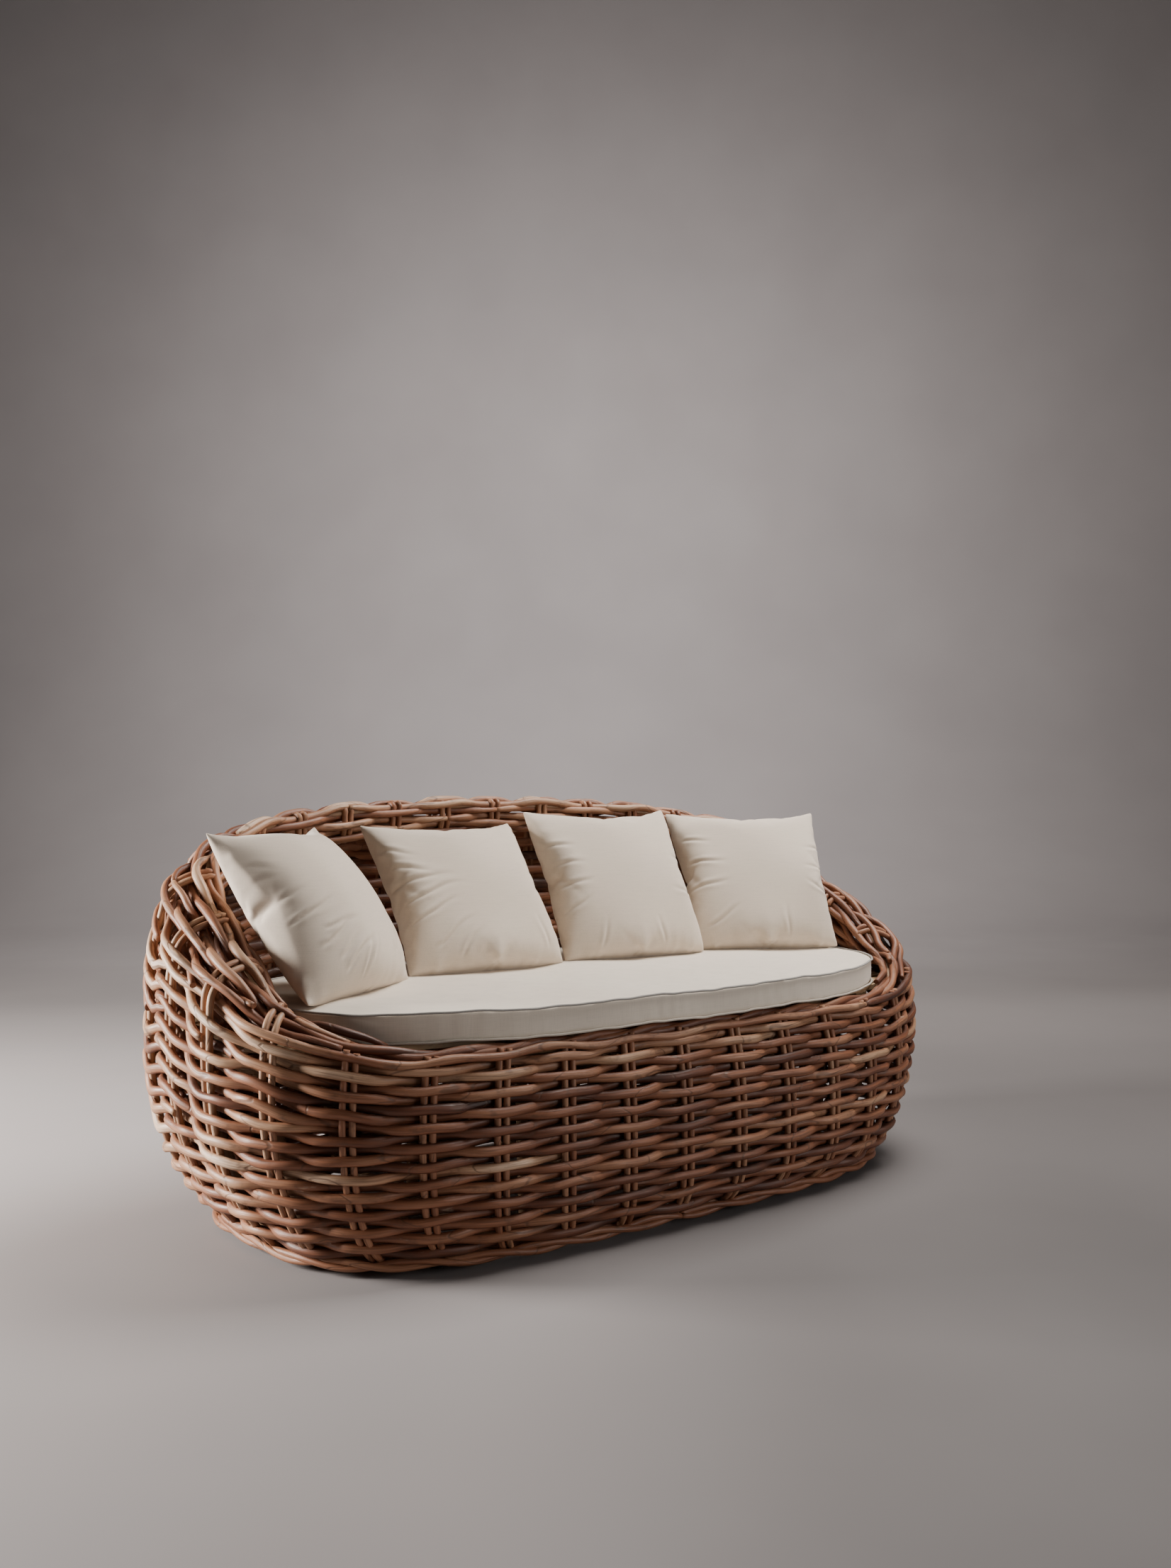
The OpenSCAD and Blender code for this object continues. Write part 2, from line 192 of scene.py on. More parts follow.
# ------------------------------------------------------------------ rods
class Tubes:
    def __init__(self):
        self.v, self.f, self.co, self.tone, self.n = [], [], [], [], 0

    def add(self, pts, rad, ref, tone, sides=10, squash=1.0, crease=0.0):
        pts = np.asarray(pts, float)
        m = len(pts)
        rad = np.broadcast_to(np.asarray(rad, float), m)
        tan = np.gradient(pts, axis=0)
        tan /= np.linalg.norm(tan, axis=1)[:, None]
        ref = np.broadcast_to(np.asarray(ref, float), (m, 3))
        side = np.cross(tan, ref)
        side /= np.linalg.norm(side, axis=1)[:, None]
        up = np.cross(side, tan)
        th = np.arange(sides) * 2 * math.pi / sides
        squash = np.broadcast_to(np.asarray(squash, float), m)[:, None, None]
        ring = (pts[:, None, :] + rad[:, None, None] * (np.cos(th)[None, :, None] * side[:, None, :]
                + squash * np.sin(th)[None, :, None] * up[:, None, :]))
        self.v.append(ring.reshape(-1, 3))
        along = np.concatenate([[0], np.cumsum(np.linalg.norm(np.diff(pts, axis=0), axis=1))]) + 1000 * rng.uniform(0, 60)
        co = np.empty((m, sides, 3))
        co[..., 0] = along[:, None]
        co[..., 1] = 7.0 * np.cos(th)[None, :]
        co[..., 2] = 7.0 * np.sin(th)[None, :]
        self.co.append(co.reshape(-1, 3))
        # painted shade, with some grime: each rod is darker on the faces towards its neighbours
        shade = crease * np.abs(np.sin(th)) ** 4
        self.tone.append((np.broadcast_to(np.asarray(tone, float), m)[:, None] - shade[None, :]).reshape(-1))
        i, j = np.meshgrid(np.arange(m - 1), np.arange(sides), indexing="ij")
        a = self.n + i * sides + j
        b = self.n + i * sides + (j + 1) % sides
        self.f += np.stack([a, b, b + sides, a + sides], -1).reshape(-1, 4).tolist()
        self.f.append([self.n + k for k in range(sides - 1, -1, -1)])
        self.f.append([self.n + (m - 1) * sides + k for k in range(sides)])
        self.n += m * sides

    def build(self, name, mat):
        me = bpy.data.meshes.new(name)
        me.from_pydata((np.vstack(self.v) * 0.001).tolist(), [], self.f)
        at = me.attributes.new("rodco", "FLOAT_VECTOR", "POINT")
        at.data.foreach_set("vector", (np.vstack(self.co) * 0.001).astype(np.float32).ravel())
        at = me.attributes.new("tone", "FLOAT", "POINT")
        at.data.foreach_set("value", np.concatenate(self.tone).astype(np.float32))
        flat = np.array([len(f) == 4 for f in self.f])
        me.polygons.foreach_set("use_smooth", flat)
        me.materials.append(mat)
        me.validate()
        ob = bpy.data.objects.new(name, me)
        bpy.context.scene.collection.objects.link(ob)
        return ob


def taper(n, head, tail, low=0.72):
    """Radius factor along a rod of n samples whose ends are shaved over head and tail samples."""
    k = np.arange(n)
    f = np.ones(n)
    if head:
        f = np.minimum(f, low + (1 - low) * smooth(k / head))
    if tail:
        f = np.minimum(f, low + (1 - low) * smooth((n - 1 - k) / tail))
    return f


# ------------------------------------------------------------------ materials
def new_mat(name):
    m = bpy.data.materials.new(name)
    m.use_nodes = True
    nt = m.node_tree
    bs = next(n for n in nt.nodes if n.type == "BSDF_PRINCIPLED")
    return m, nt, bs


def node(nt, kind, **kw):
    n = nt.nodes.new(kind)
    for k, v in kw.items():
        if k.startswith("i_"):
            n.inputs[int(k[2:])].default_value = v
        else:
            setattr(n, k, v)
    return n


def mix(nt, mode, fac, a, b):
    n = nt.nodes.new("ShaderNodeMix")
    n.data_type = "RGBA"
    n.blend_type = mode
    for sock, val in ((n.inputs[0], fac), (n.inputs[6], a), (n.inputs[7], b)):
        if isinstance(val, (int, float, tuple)):
            sock.default_value = val
        else:
            nt.links.new(val, sock)
    return n.outputs[2]


def maths(nt, op, a, b=0.0, clamp=False):
    n = nt.nodes.new("ShaderNodeMath")
    n.operation = op
    n.use_clamp = clamp
    for i, val in enumerate((a, b)):
        if isinstance(val, (int, float)):
            n.inputs[i].default_value = val
        else:
            nt.links.new(val, n.inputs[i])
    return n.outputs[0]


def ramp(nt, fac, stops, mode="LINEAR"):
    n = nt.nodes.new("ShaderNodeValToRGB")
    n.color_ramp.interpolation = mode
    el = n.color_ramp.elements
    while len(el) < len(stops):
        el.new(0.5)
    for e, (p, c) in zip(el, stops):
        e.position = p
        e.color = c if len(c) == 4 else (*c, 1)
    nt.links.new(fac, n.inputs[0])
    return n.outputs[0]


def scaled(nt, vec, s):
    n = nt.nodes.new("ShaderNodeMapping")
    n.inputs["Scale"].default_value = s
    nt.links.new(vec, n.inputs["Vector"])
    return n.outputs[0]


def noise(nt, vec, scale, detail=3.0, rough=0.5):
    n = nt.nodes.new("ShaderNodeTexNoise")
    n.inputs["Scale"].default_value = scale
    n.inputs["Detail"].default_value = detail
    n.inputs["Roughness"].default_value = rough
    nt.links.new(vec, n.inputs["Vector"])
    return n.outputs["Fac"]


def g(v):
    return (v, v, v)


def rattan(name, light=1.0, stake=False):
    m, nt, bs = new_mat(name)
    co = node(nt, "ShaderNodeAttribute", attribute_name="rodco").outputs["Vector"]
    tone = node(nt, "ShaderNodeAttribute", attribute_name="tone").outputs["Fac"]
    # slow change of colour along each rod, added to the tone of the rod
    slow = noise(nt, scaled(nt, co, (5.0, 20.0, 20.0)), 1.0, 2.0)
    t = maths(nt, "ADD", tone, maths(nt, "MULTIPLY", maths(nt, "SUBTRACT", slow, 0.5), 0.75))
    base = ramp(nt, t, [
        (0.00, (0.062, 0.019, 0.009)),
        (0.22, (0.150, 0.048, 0.021)),
        (0.45, (0.276, 0.108, 0.052)),
        (0.68, (0.394, 0.197, 0.107)),
        (0.86, (0.470, 0.285, 0.172)),
        (1.00, (0.590, 0.410, 0.285))])
    # long fibres
    fib = noise(nt, scaled(nt, co, (22.0, 900.0, 900.0)), 1.0, 4.0, 0.6)
    fibc = ramp(nt, fib, [(0.28, g(0.55)), (0.5, g(0.96)), (0.72, g(1.16))])
    col = mix(nt, "MULTIPLY", 0.75, base, fibc)
    streak = noise(nt, scaled(nt, co, (11.0, 330.0, 330.0)), 1.0, 3.0, 0.6)
    col = mix(nt, "MULTIPLY", 0.9, col, ramp(nt, streak, [(0.30, (0.60, 0.54, 0.50)), (0.50, g(1.0)), (0.70, (1.18, 1.20, 1.22))]))
    # dark stains and soot-like patches
    spot = noise(nt, scaled(nt, co, (26.0, 60.0, 60.0)), 1.0, 3.0, 0.65)
    stain = ramp(nt, spot, [(0.57, g(0.0)), (0.70, g(1.0))])
    col = mix(nt, "MIX", maths(nt, "MULTIPLY", stain, 0.55), col, (0.105, 0.050, 0.028, 1))
    # pale flaking bark on some stretches
    bark = noise(nt, scaled(nt, co, (9.0, 45.0, 45.0)), 1.0, 5.0, 0.7)
    barkf = ramp(nt, bark, [(0.66, g(0.0)), (0.73, g(1.0))])
    col = mix(nt, "MIX", maths(nt, "MULTIPLY", barkf, 0.42), col, (0.56, 0.42, 0.31, 1))
    # nodes of the cane: thin dark rings
    sep = nt.nodes.new("ShaderNodeSeparateXYZ")
    nt.links.new(co, sep.inputs[0])
    ringx = maths(nt, "ADD", maths(nt, "MULTIPLY", sep.outputs[0], 4.4), maths(nt, "MULTIPLY", slow, 2.5))
    fr = maths(nt, "FRACT", ringx)
    ringf = ramp(nt, fr, [(0.0, g(0.0)), (0.468, g(0.0)), (0.49, g(1.0)), (0.51, g(1.0)), (0.532, g(0.0))])
    col = mix(nt, "MIX", maths(nt, "MULTIPLY", ringf, 0.6), col, (0.10, 0.048, 0.026, 1))
    if light != 1.0:
        col = mix(nt, "MULTIPLY", 1.0, col, (light, light, light, 1))
    nt.links.new(col, bs.inputs["Base Color"])
    rgh = ramp(nt, fib, [(0.3, g(0.60)), (0.7, g(0.38))])
    nt.links.new(maths(nt, "ADD", rgh, maths(nt, "MULTIPLY", barkf, 0.2), True), bs.inputs["Roughness"])
    bs.inputs["Specular IOR Level"].default_value = 0.45
    b1 = nt.nodes.new("ShaderNodeBump")
    b1.inputs["Strength"].default_value = 0.5
    b1.inputs["Distance"].default_value = 0.0012
    lump = noise(nt, scaled(nt, co, (30.0, 90.0, 90.0)), 1.0, 2.0)
    hgt = maths(nt, "ADD", maths(nt, "MULTIPLY", fib, 0.55), maths(nt, "MULTIPLY", lump, 0.9))
    hgt = maths(nt, "ADD", hgt, maths(nt, "MULTIPLY", streak, 0.8))
    hgt = maths(nt, "ADD", hgt, maths(nt, "MULTIPLY", ringf, 0.7))
    hgt = maths(nt, "ADD", hgt, maths(nt, "MULTIPLY", barkf, 0.35))
    nt.links.new(hgt, b1.inputs["Height"])
    nt.links.new(b1.outputs[0], bs.inputs["Normal"])
    return m


def wood(name, dark, pale, scale=1.0, rough=0.55):
    m, nt, bs = new_mat(name)
    co = node(nt, "ShaderNodeTexCoord").outputs["Object"]
    wob = noise(nt, scaled(nt, co, (3 * scale, 3 * scale, 3 * scale)), 1.0, 3.0)
    grain = noise(nt, scaled(nt, co, (5 * scale, 60 * scale, 60 * scale)), 1.0, 5.0, 0.62)
    f = maths(nt, "ADD", maths(nt, "MULTIPLY", wob, 0.4), maths(nt, "MULTIPLY", grain, 0.6))
    col = ramp(nt, f, [(0.30, dark), (0.52, tuple((a + b) / 2 for a, b in zip(dark, pale))), (0.72, pale)])
    pore = ramp(nt, noise(nt, scaled(nt, co, (20 * scale, 420 * scale, 420 * scale)), 1.0, 2.0), [(0.34, g(0.6)), (0.44, g(1.0))])
    nt.links.new(mix(nt, "MULTIPLY", 0.6, col, pore), bs.inputs["Base Color"])
    nt.links.new(ramp(nt, grain, [(0.3, g(rough + 0.12)), (0.7, g(rough - 0.08))]), bs.inputs["Roughness"])
    b = nt.nodes.new("ShaderNodeBump")
    b.inputs["Strength"].default_value = 0.35
    b.inputs["Distance"].default_value = 0.0006
    nt.links.new(grain, b.inputs["Height"])
    nt.links.new(b.outputs[0], bs.inputs["Normal"])
    return m


def metal(name, col, rough):
    m, nt, bs = new_mat(name)
    co = node(nt, "ShaderNodeTexCoord").outputs["Object"]
    n1 = noise(nt, co, 260.0, 3.0)
    nt.links.new(ramp(nt, n1, [(0.3, tuple(c * 0.8 for c in col)), (0.7, col)]), bs.inputs["Base Color"])
    nt.links.new(ramp(nt, n1, [(0.3, g(rough + 0.1)), (0.7, g(rough - 0.06))]), bs.inputs["Roughness"])
    bs.inputs["Metallic"].default_value = 1.0
    b = nt.nodes.new("ShaderNodeBump")
    b.inputs["Strength"].default_value = 0.15
    b.inputs["Distance"].default_value = 0.0003
    nt.links.new(noise(nt, co, 900.0, 2.0), b.inputs["Height"])
    nt.links.new(b.outputs[0], bs.inputs["Normal"])
    return m


def plastic(name, col, rough=0.5):
    m, nt, bs = new_mat(name)
    co = node(nt, "ShaderNodeTexCoord").outputs["Object"]
    n1 = noise(nt, co, 120.0, 4.0)
    nt.links.new(ramp(nt, n1, [(0.3, tuple(c * 0.75 for c in col)), (0.7, col)]), bs.inputs["Base Color"])
    nt.links.new(ramp(nt, n1, [(0.3, g(rough + 0.15)), (0.7, g(rough))]), bs.inputs["Roughness"])
    b = nt.nodes.new("ShaderNodeBump")
    b.inputs["Strength"].default_value = 0.2
    b.inputs["Distance"].default_value = 0.0003
    nt.links.new(noise(nt, co, 1500.0, 2.0), b.inputs["Height"])
    nt.links.new(b.outputs[0], bs.inputs["Normal"])
    return m


def linen(name, col, shade=0.9, weave=1.0):
    m, nt, bs = new_mat(name)
    co = node(nt, "ShaderNodeTexCoord").outputs["Object"]
    big = noise(nt, scaled(nt, co, (4.0, 4.0, 4.0)), 1.0, 3.0)
    # slubs run one way each; thin streaks of thicker yarn
    s1 = noise(nt, scaled(nt, co, (26.0, 26.0, 900.0)), 1.0, 3.0, 0.6)
    s2 = noise(nt, scaled(nt, co, (900.0, 900.0, 22.0)), 1.0, 3.0, 0.6)
    fine = noise(nt, co, 1500.0, 2.0, 0.6)
    yarn = maths(nt, "ADD", maths(nt, "MULTIPLY", s1, 0.45), maths(nt, "MULTIPLY", s2, 0.55))
    dark = tuple(c * shade for c in col)
    c1 = ramp(nt, yarn, [(0.34, dark), (0.52, col), (0.70, tuple(min(1, c * 1.04) for c in col))])
    c2 = mix(nt, "MULTIPLY", 0.5, c1, ramp(nt, big, [(0.3, (0.93, 0.92, 0.90)), (0.7, (1.0, 1.0, 1.0))]))
    c3 = mix(nt, "MULTIPLY", 0.5, c2, ramp(nt, fine, [(0.3, g(0.90)), (0.7, g(1.02))]))
    nt.links.new(c3, bs.inputs["Base Color"])
    nt.links.new(ramp(nt, yarn, [(0.3, g(0.92)), (0.7, g(0.82))]), bs.inputs["Roughness"])
    bs.inputs["Specular IOR Level"].default_value = 0.2
    bs.inputs["Sheen Weight"].default_value = 0.18
    bs.inputs["Sheen Roughness"].default_value = 0.5
    b = nt.nodes.new("ShaderNodeBump")
    b.inputs["Strength"].default_value = 0.28 * weave
    b.inputs["Distance"].default_value = 0.0006
    h = maths(nt, "ADD", maths(nt, "MULTIPLY", yarn, 0.8), maths(nt, "MULTIPLY", fine, 0.5))
    nt.links.new(h, b.inputs["Height"])
    nt.links.new(b.outputs[0], bs.inputs["Normal"])
    return m


M_ROD = rattan("rattan_rod")
M_STAKE = rattan("rattan_stake", 1.0)
M_POLE = wood("frame_pole_wood", (0.20, 0.10, 0.05), (0.42, 0.26, 0.14))
M_SLAT = wood("slat_wood", (0.33, 0.20, 0.10), (0.60, 0.43, 0.26))
M_STEEL = metal("zinc_steel", (0.60, 0.60, 0.58), 0.34)
M_GLIDE = plastic("glide_plastic", (0.035, 0.033, 0.032))
M_LINEN = linen("linen_seat", (0.80, 0.712, 0.605))
M_PILLOW = linen("linen_pillow", (0.690, 0.592, 0.490))
M_PIPE_T = linen("piping_top", (0.37, 0.35, 0.325), 0.8, 1.5)
M_PIPE_B = linen("piping_bottom", (0.60, 0.54, 0.46), 0.85, 1.5)
M_ZIP = plastic("zip_tape", (0.62, 0.60, 0.56), 0.6)

for name, mat in (("rim_pole", M_POLE), ("base_ring", M_POLE), ("seat_ring", M_POLE), ("posts", M_POLE), ("base_rails", M_POLE),
                  ("base_stretchers", M_POLE), ("centre_posts", M_POLE), ("seat_bearers", M_SLAT), ("seat_slats", M_SLAT),
                  ("bearer_screws", M_STEEL), ("slat_screws", M_STEEL), ("seat_ring_screws", M_STEEL), ("base_ring_screws", M_STEEL),
                  ("glide_screws", M_STEEL), ("glides", M_GLIDE)):
    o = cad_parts[name]
    if not o.material_slots:
        o.data.materials.append(mat)
    for sl in o.material_slots:
        sl.material = mat

# ------------------------------------------------------------------ woven wall
PER = 10                                   # samples from one stake pair to the next
S = START + np.arange(32 * PER) * PITCH / PER      # arc length samples, pair centres on every 10th
A = angle_at(S)
HGT = spring_z(A) - 36.0
Z0 = 36.0


def tone_with_painted_light(x, y):
    """Painted light and shade: the end towards the key light is painted paler and the right end a little darker; the
    front keeps the base tone, darker and redder.
    """
    left = smooth((-x - 700) / 170)
    return 0.49 + 0.23 * left - 0.03 * smooth((x - 500) / 300)


def rim_painted_light(p):
    """Painted light and shade: the roll is painted paler along the back and darker over the near arm."""
    return 0.14 * smooth((p[:, 1] - 120) / 160) - 0.07 * smooth((-p[:, 0] - 450) / 200) * smooth((150 - p[:, 1]) / 150)


def pair_wave(s, parity):
    c = np.cos(math.pi * (s - START) / PITCH + math.pi * parity)
    return c * (1.5 - 0.5 * c * c)


# rows, bottom to top: full rounds, and pairs of short rows let in where the wall is higher
rows = [dict(order=k, par=k % 2, w=np.ones(len(S))) for k in range(21)]
slots = [13, 17, 10, 19, 15, 8, 18, 12, 6, 16, 9, 20]
extra = (HGT - 336.0) / 17.6 * (0.58 + 0.42 * smooth((rise(A) - 0.62) / 0.3))
ARM = smooth((rise(A) - 0.02) / 0.22) * (1 - smooth((rise(A) - 0.72) / 0.2))      # 1 on the two ends, 0 along front and back
for i, k in enumerate(slots):
    rows.append(dict(order=k + 0.3, par=(k + 1) % 2, w=smooth(extra - 2 * i)))
    rows.append(dict(order=k + 0.6, par=k % 2, w=smooth(extra - 2 * i - 1)))
rows.sort(key=lambda r: r["order"])
W = np.array([r["w"] for r in rows])
CUM = np.cumsum(W, axis=0) - W / 2
ZR = Z0 + HGT * CUM / W.sum(axis=0)

lower, upper = Tubes(), Tubes()


def closed_runs(active):
    """Runs of consecutive active samples, going round the end of the array."""
    n = len(active)
    if active.all():
        return [np.arange(n + 1)]
    first = int(np.flatnonzero(~active)[0])
    idx = (np.arange(n) + first) % n
    runs, cur = [], []
    for i in idx:
        if active[i]:
            cur.append(i)
        elif cur:
            runs.append(np.array(cur))
            cur = []
    if cur:
        runs.append(np.array(cur))
    return [r for r in runs if len(r) > PER]


for ri, row in enumerate(rows):
    dz, dd, dr = harmonics(1.1, 12, 44, rng), harmonics(0.8, 8, 40, rng), harmonics(0.035, 6, 60, rng)
    radius = rng.uniform(7.3, 8.1)
    # where rods pass between the pairs they are pushed up and down a little by their neighbours
    lift = rng.uniform(-0.7, 0.7)
    for run in closed_runs(row["w"] > 0.35):
        full = len(run) == len(S) + 1
        if full:
            # a full round starts at a pair of its own, where it is on the inside
            k0 = (2 * int(rng.integers(0, 16)) + (1 if row["par"] == 0 else 0)) * PER
            run = (np.arange(len(S) + 1) + k0) % len(S)
        # cut the round into rods at pairs where this row is on the inside
        inside = [k for k in range(1, len(run) - 1) if run[k] % PER == 0 and (run[k] // PER + row["par"]) % 2 == 1]
        cuts = []
        last = 0
        step = int(rng.integers(90, 150))
        for k in inside:
            if k - last > step and len(run) - k > 50:
                cuts.append(k)
                last = k
                step = int(rng.integers(90, 150))
        edges = [0] + cuts + [len(run) - 1]
        for e0, e1 in zip(edges[:-1], edges[1:]):
            ii = run[e0:e1 + 1] % len(S)
            if len(ii) < 6:
                continue
            s = S[ii]
            a = A[ii]
            drift = rng.uniform(-5.0, 5.0)
            z = ZR[ri][ii] + dz(s) + lift * np.sin(2 * math.pi * (s - START) / PITCH)
            swing = pair_wave(s, row["par"])
            depth = 17.2 + 2.4 * ARM[ii] - (9.6 + 3.4 * ARM[ii]) * swing + dd(s)
            # rods drift up or down a little from end to end
            z = z + drift * ARM[ii] * (np.linspace(-1, 1, len(ii)))
            # the very ends stop short, tucked behind a pair
            p = wall(a, z, depth)
            head = 5 if (e0 or not full) else 2
            tail = 5 if (e1 < len(run) - 1 or not full) else 2
            if len(p) > 4:
                p[0] = p[0] * 0.75 + p[1] * 0.25
                p[-1] = p[-1] * 0.75 + p[-2] * 0.25
            t0 = np.clip(rng.normal(0, 0.19), -0.32, 0.36)
            # painted shade: each rod is darker where it dips behind a pair
            tone = tone_with_painted_light(p[:, 0], p[:, 1]) + t0 - 0.07 * (1 - swing)
            rr = radius * (1 + dr(s)) * taper(len(p), head, tail, 0.8)
            # the rods of the back and of the far end are packed tighter
            flat = 1.16 + 0.25 * np.maximum(smooth((p[:, 1] - 40) / 140), smooth((p[:, 0] - 640) / 150) * (p[:, 1] > -260))
            (lower if row["order"] < 11 else upper).add(p, rr, (0, 0, 1), tone, 10, flat, 0.26)

weave_lower = lower.build("woven_wall_lower_rods", M_ROD)
weave_upper = upper.build("woven_wall_upper_rods", M_ROD)

# ------------------------------------------------------------------ rolled rim
PROF = profile(A)
LEN = PROF[6]
FULL = PROF[0][:, -1]
SR = rise(A)
SOFT = smooth((SR - 0.03) / 0.25)          # 0 along the front, 1 on the arms and the back
rank = [8, 0, 4, 7, 1, 5, 2, 6, 3]
count = LEN / 24.5
RW = np.array([smooth(count - k + 0.2) for k in rank])
RCUM = np.cumsum(RW, axis=0) - RW / 2
roll = Tubes()
for j in range(9):
    dt, dr = harmonics(3.4, 5, 26, rng), harmonics(0.05, 6, 50, rng)
    radius = rng.uniform(7.7, 8.6)
    for run in closed_runs(RW[j] > 0.3):
        full = len(run) == len(S) + 1
        if full:
            k0 = (2 * int(rng.integers(0, 16)) + (1 if j % 2 == 0 else 0)) * PER
            run = (np.arange(len(S) + 1) + k0) % len(S)
        inside = [k for k in range(1, len(run) - 1) if run[k] % PER == 0 and (run[k] // PER + j) % 2 == 1]
        cuts, last, step = [], 0, int(rng.integers(70, 120))
        for k in inside:
            if k - last > step and len(run) - k > 40:
                cuts.append(k)
                last, step = k, int(rng.integers(70, 120))
        edges = [0] + cuts + [len(run) - 1]
        for e0, e1 in zip(edges[:-1], edges[1:]):
            ii = run[e0:e1 + 1] % len(S)
            if len(ii) < 6:
                continue
            s, a = S[ii], A[ii]
            t = LEN[ii] * RCUM[j][ii] / RW.sum(axis=0)[ii] + dt(s)
            prof = tuple(x[ii] for x in PROF)
            t = t + rng.uniform(-7.5, 7.5) * SOFT[ii] * np.linspace(-1, 1, len(ii))
            rad = np.array([np.interp(t[k], prof[0][k], prof[5][k]) for k in range(len(ii))])
            over = radius - 1.6 * SOFT[ii] + 0.3
            under = np.minimum(31.0, rad - 1.5)
            under = over + (np.maximum(under, over) - over) * SOFT[ii]
            c = pair_wave(s, j + 1)
            t = t + 3.2 * np.cos(math.pi * (s - START) / PITCH + math.pi * (j + 0.35)) * SOFT[ii]
            off = over + (under - over) * (1 - c) / 2
            # along the front the two top rods twist round each other
            ph = math.pi * (s - START) / PITCH
            if j in (4, 6):
                sg = 1 if j == 4 else -1
                tw = 1 - SOFT[ii]
                mid = LEN[ii] * 0.5
                t = t * (1 - tw) + tw * (mid + sg * 9.5 * np.cos(ph) + dt(s) * 0.4)
                off = off * (1 - tw) + tw * (over + 4.5 + sg * 4.5 * np.sin(ph))
            t = np.clip(t, 3, LEN[ii] - 2)
            p = on_roll(a, prof, t, off)
            ref = on_roll(a, prof, t + 1.5, off) - on_roll(a, prof, t - 1.5, off)
            head = 7 if (e0 or not full) else 2
            tail = 7 if (e1 < len(run) - 1 or not full) else 2
            t0 = np.clip(rng.normal(0.03, 0.16), -0.26, 0.34)
            rr = radius * (1 + dr(s)) * taper(len(p), head, tail, 0.66)
            # painted shade where the rod dips under a pair, plus the painted light of the roll
            roll.add(p, rr, ref, tone_with_painted_light(p[:, 0], p[:, 1]) + t0 - 0.09 * (1 - c) + rim_painted_light(p), 12, 1.0, 0.24)
# the rods that carry the weave down the inside of the roll
inner_n = (FULL - LEN) / 18.5
IW = np.array([smooth(inner_n - k) for k in range(10)])
ICUM = np.cumsum(IW, axis=0) - IW / 2
ISUM = np.maximum(IW.sum(axis=0), 1e-6)
for j in range(10):
    dt, dr = harmonics(1.6, 5, 26, rng), harmonics(0.04, 6, 50, rng)
    radius = rng.uniform(7.3, 8.1)
    for run in closed_runs(IW[j] > 0.4):
        inside = [k for k in range(1, len(run) - 1) if run[k] % PER == 0 and (run[k] // PER + j) % 2 == 0]
        cuts, last, step = [], 0, int(rng.integers(70, 120))
        for k in inside:
            if k - last > step and len(run) - k > 40:
                cuts.append(k)
                last, step = k, int(rng.integers(70, 120))
        edges = [0] + cuts + [len(run) - 1]
        for e0, e1 in zip(edges[:-1], edges[1:]):
            ii = run[e0:e1 + 1] % len(S)
            if len(ii) < 6:
                continue
            s, a = S[ii], A[ii]
            prof = tuple(x[ii] for x in PROF)
            c = pair_wave(s, j)
            t = LEN[ii] + (FULL[ii] - LEN[ii]) * ICUM[j][ii] / ISUM[ii] + dt(s)
            t = np.clip(t, LEN[ii] + 2, FULL[ii] - 3)
            off = radius + 8.5 * (1 - c)
            p = on_roll(a, prof, t, off)
            ref = on_roll(a, prof, t + 1.5, off) - on_roll(a, prof, t - 1.5, off)
            t0 = np.clip(rng.normal(0.03, 0.13), -0.22, 0.3)
            rr = radius * (1 + dr(s)) * taper(len(p), 5, 5, 0.7)
            # painted shade where the rod dips under a pair, plus the painted light of the roll
            roll.add(p, rr, ref, tone_with_painted_light(p[:, 0], p[:, 1]) + t0 - 0.07 * (1 - c) + rim_painted_light(p), 10, 1.1, 0.24)
rim_rods = roll.build("rolled_rim_rods", M_ROD)

# ------------------------------------------------------------------ stakes
st = Tubes()
for k in range(64):
    s = START + (k // 2) * PITCH + (-1 if k % 2 == 0 else 1) * 8.75
    a = float(angle_at(s))
    pr = profile(a)
    soft = float(smooth((rise(a) - 0.03) / 0.25))
    zs = float(spring_z(a))
    zz = np.concatenate([np.linspace(14, 120, 8)[:-1], np.linspace(120, zs - 4, max(6, int((zs - 120) / 32)))])
    jog = rng.normal(0, 0.5, 2)
    low = wall(a, zz, 13.2 + jog[0] * np.sin(zz / 60.0))
    # over the ends they stop short as cut stubs by the inner edge, at the back they run on down the inside
    end_t = pr[6][0] + rng.uniform(-9, 6) if rise(a) < 0.86 else pr[0][0][-1] - 8
    if soft > 0.5:
        tt = np.linspace(4, end_t, 26)
        rad = np.interp(tt, pr[0][0], pr[5][0])
        off = np.minimum(13.2, 0.5 * rad)
        if rise(a) < 0.86:
            off = off - 6.0 * smooth((tt - end_t + 26) / 26)
        top = on_roll(np.full(26, a), tuple(np.repeat(x, 26, axis=0) for x in pr), tt, off)
    else:
        top = wall(a, np.linspace(zs + 2, zs + 18 + rng.uniform(-3, 3), 4), np.linspace(12.6, 9.5, 4))
    pts = np.vstack([low, top])
    tan_ref = wall(a + 0.002, 260, 0) - wall(a - 0.002, 260, 0)
    tan_ref[2] = 0
    # the stakes carry the same painted light of the lit end
    tone = tone_with_painted_light(pts[:, 0], pts[:, 1]) + np.clip(rng.normal(0.06, 0.09), -0.15, 0.25)
    st.add(pts, rng.uniform(6.1, 6.6), tan_ref, tone, 10, 1.0, 0.10)
stakes = st.build("stake_pairs", M_STAKE)

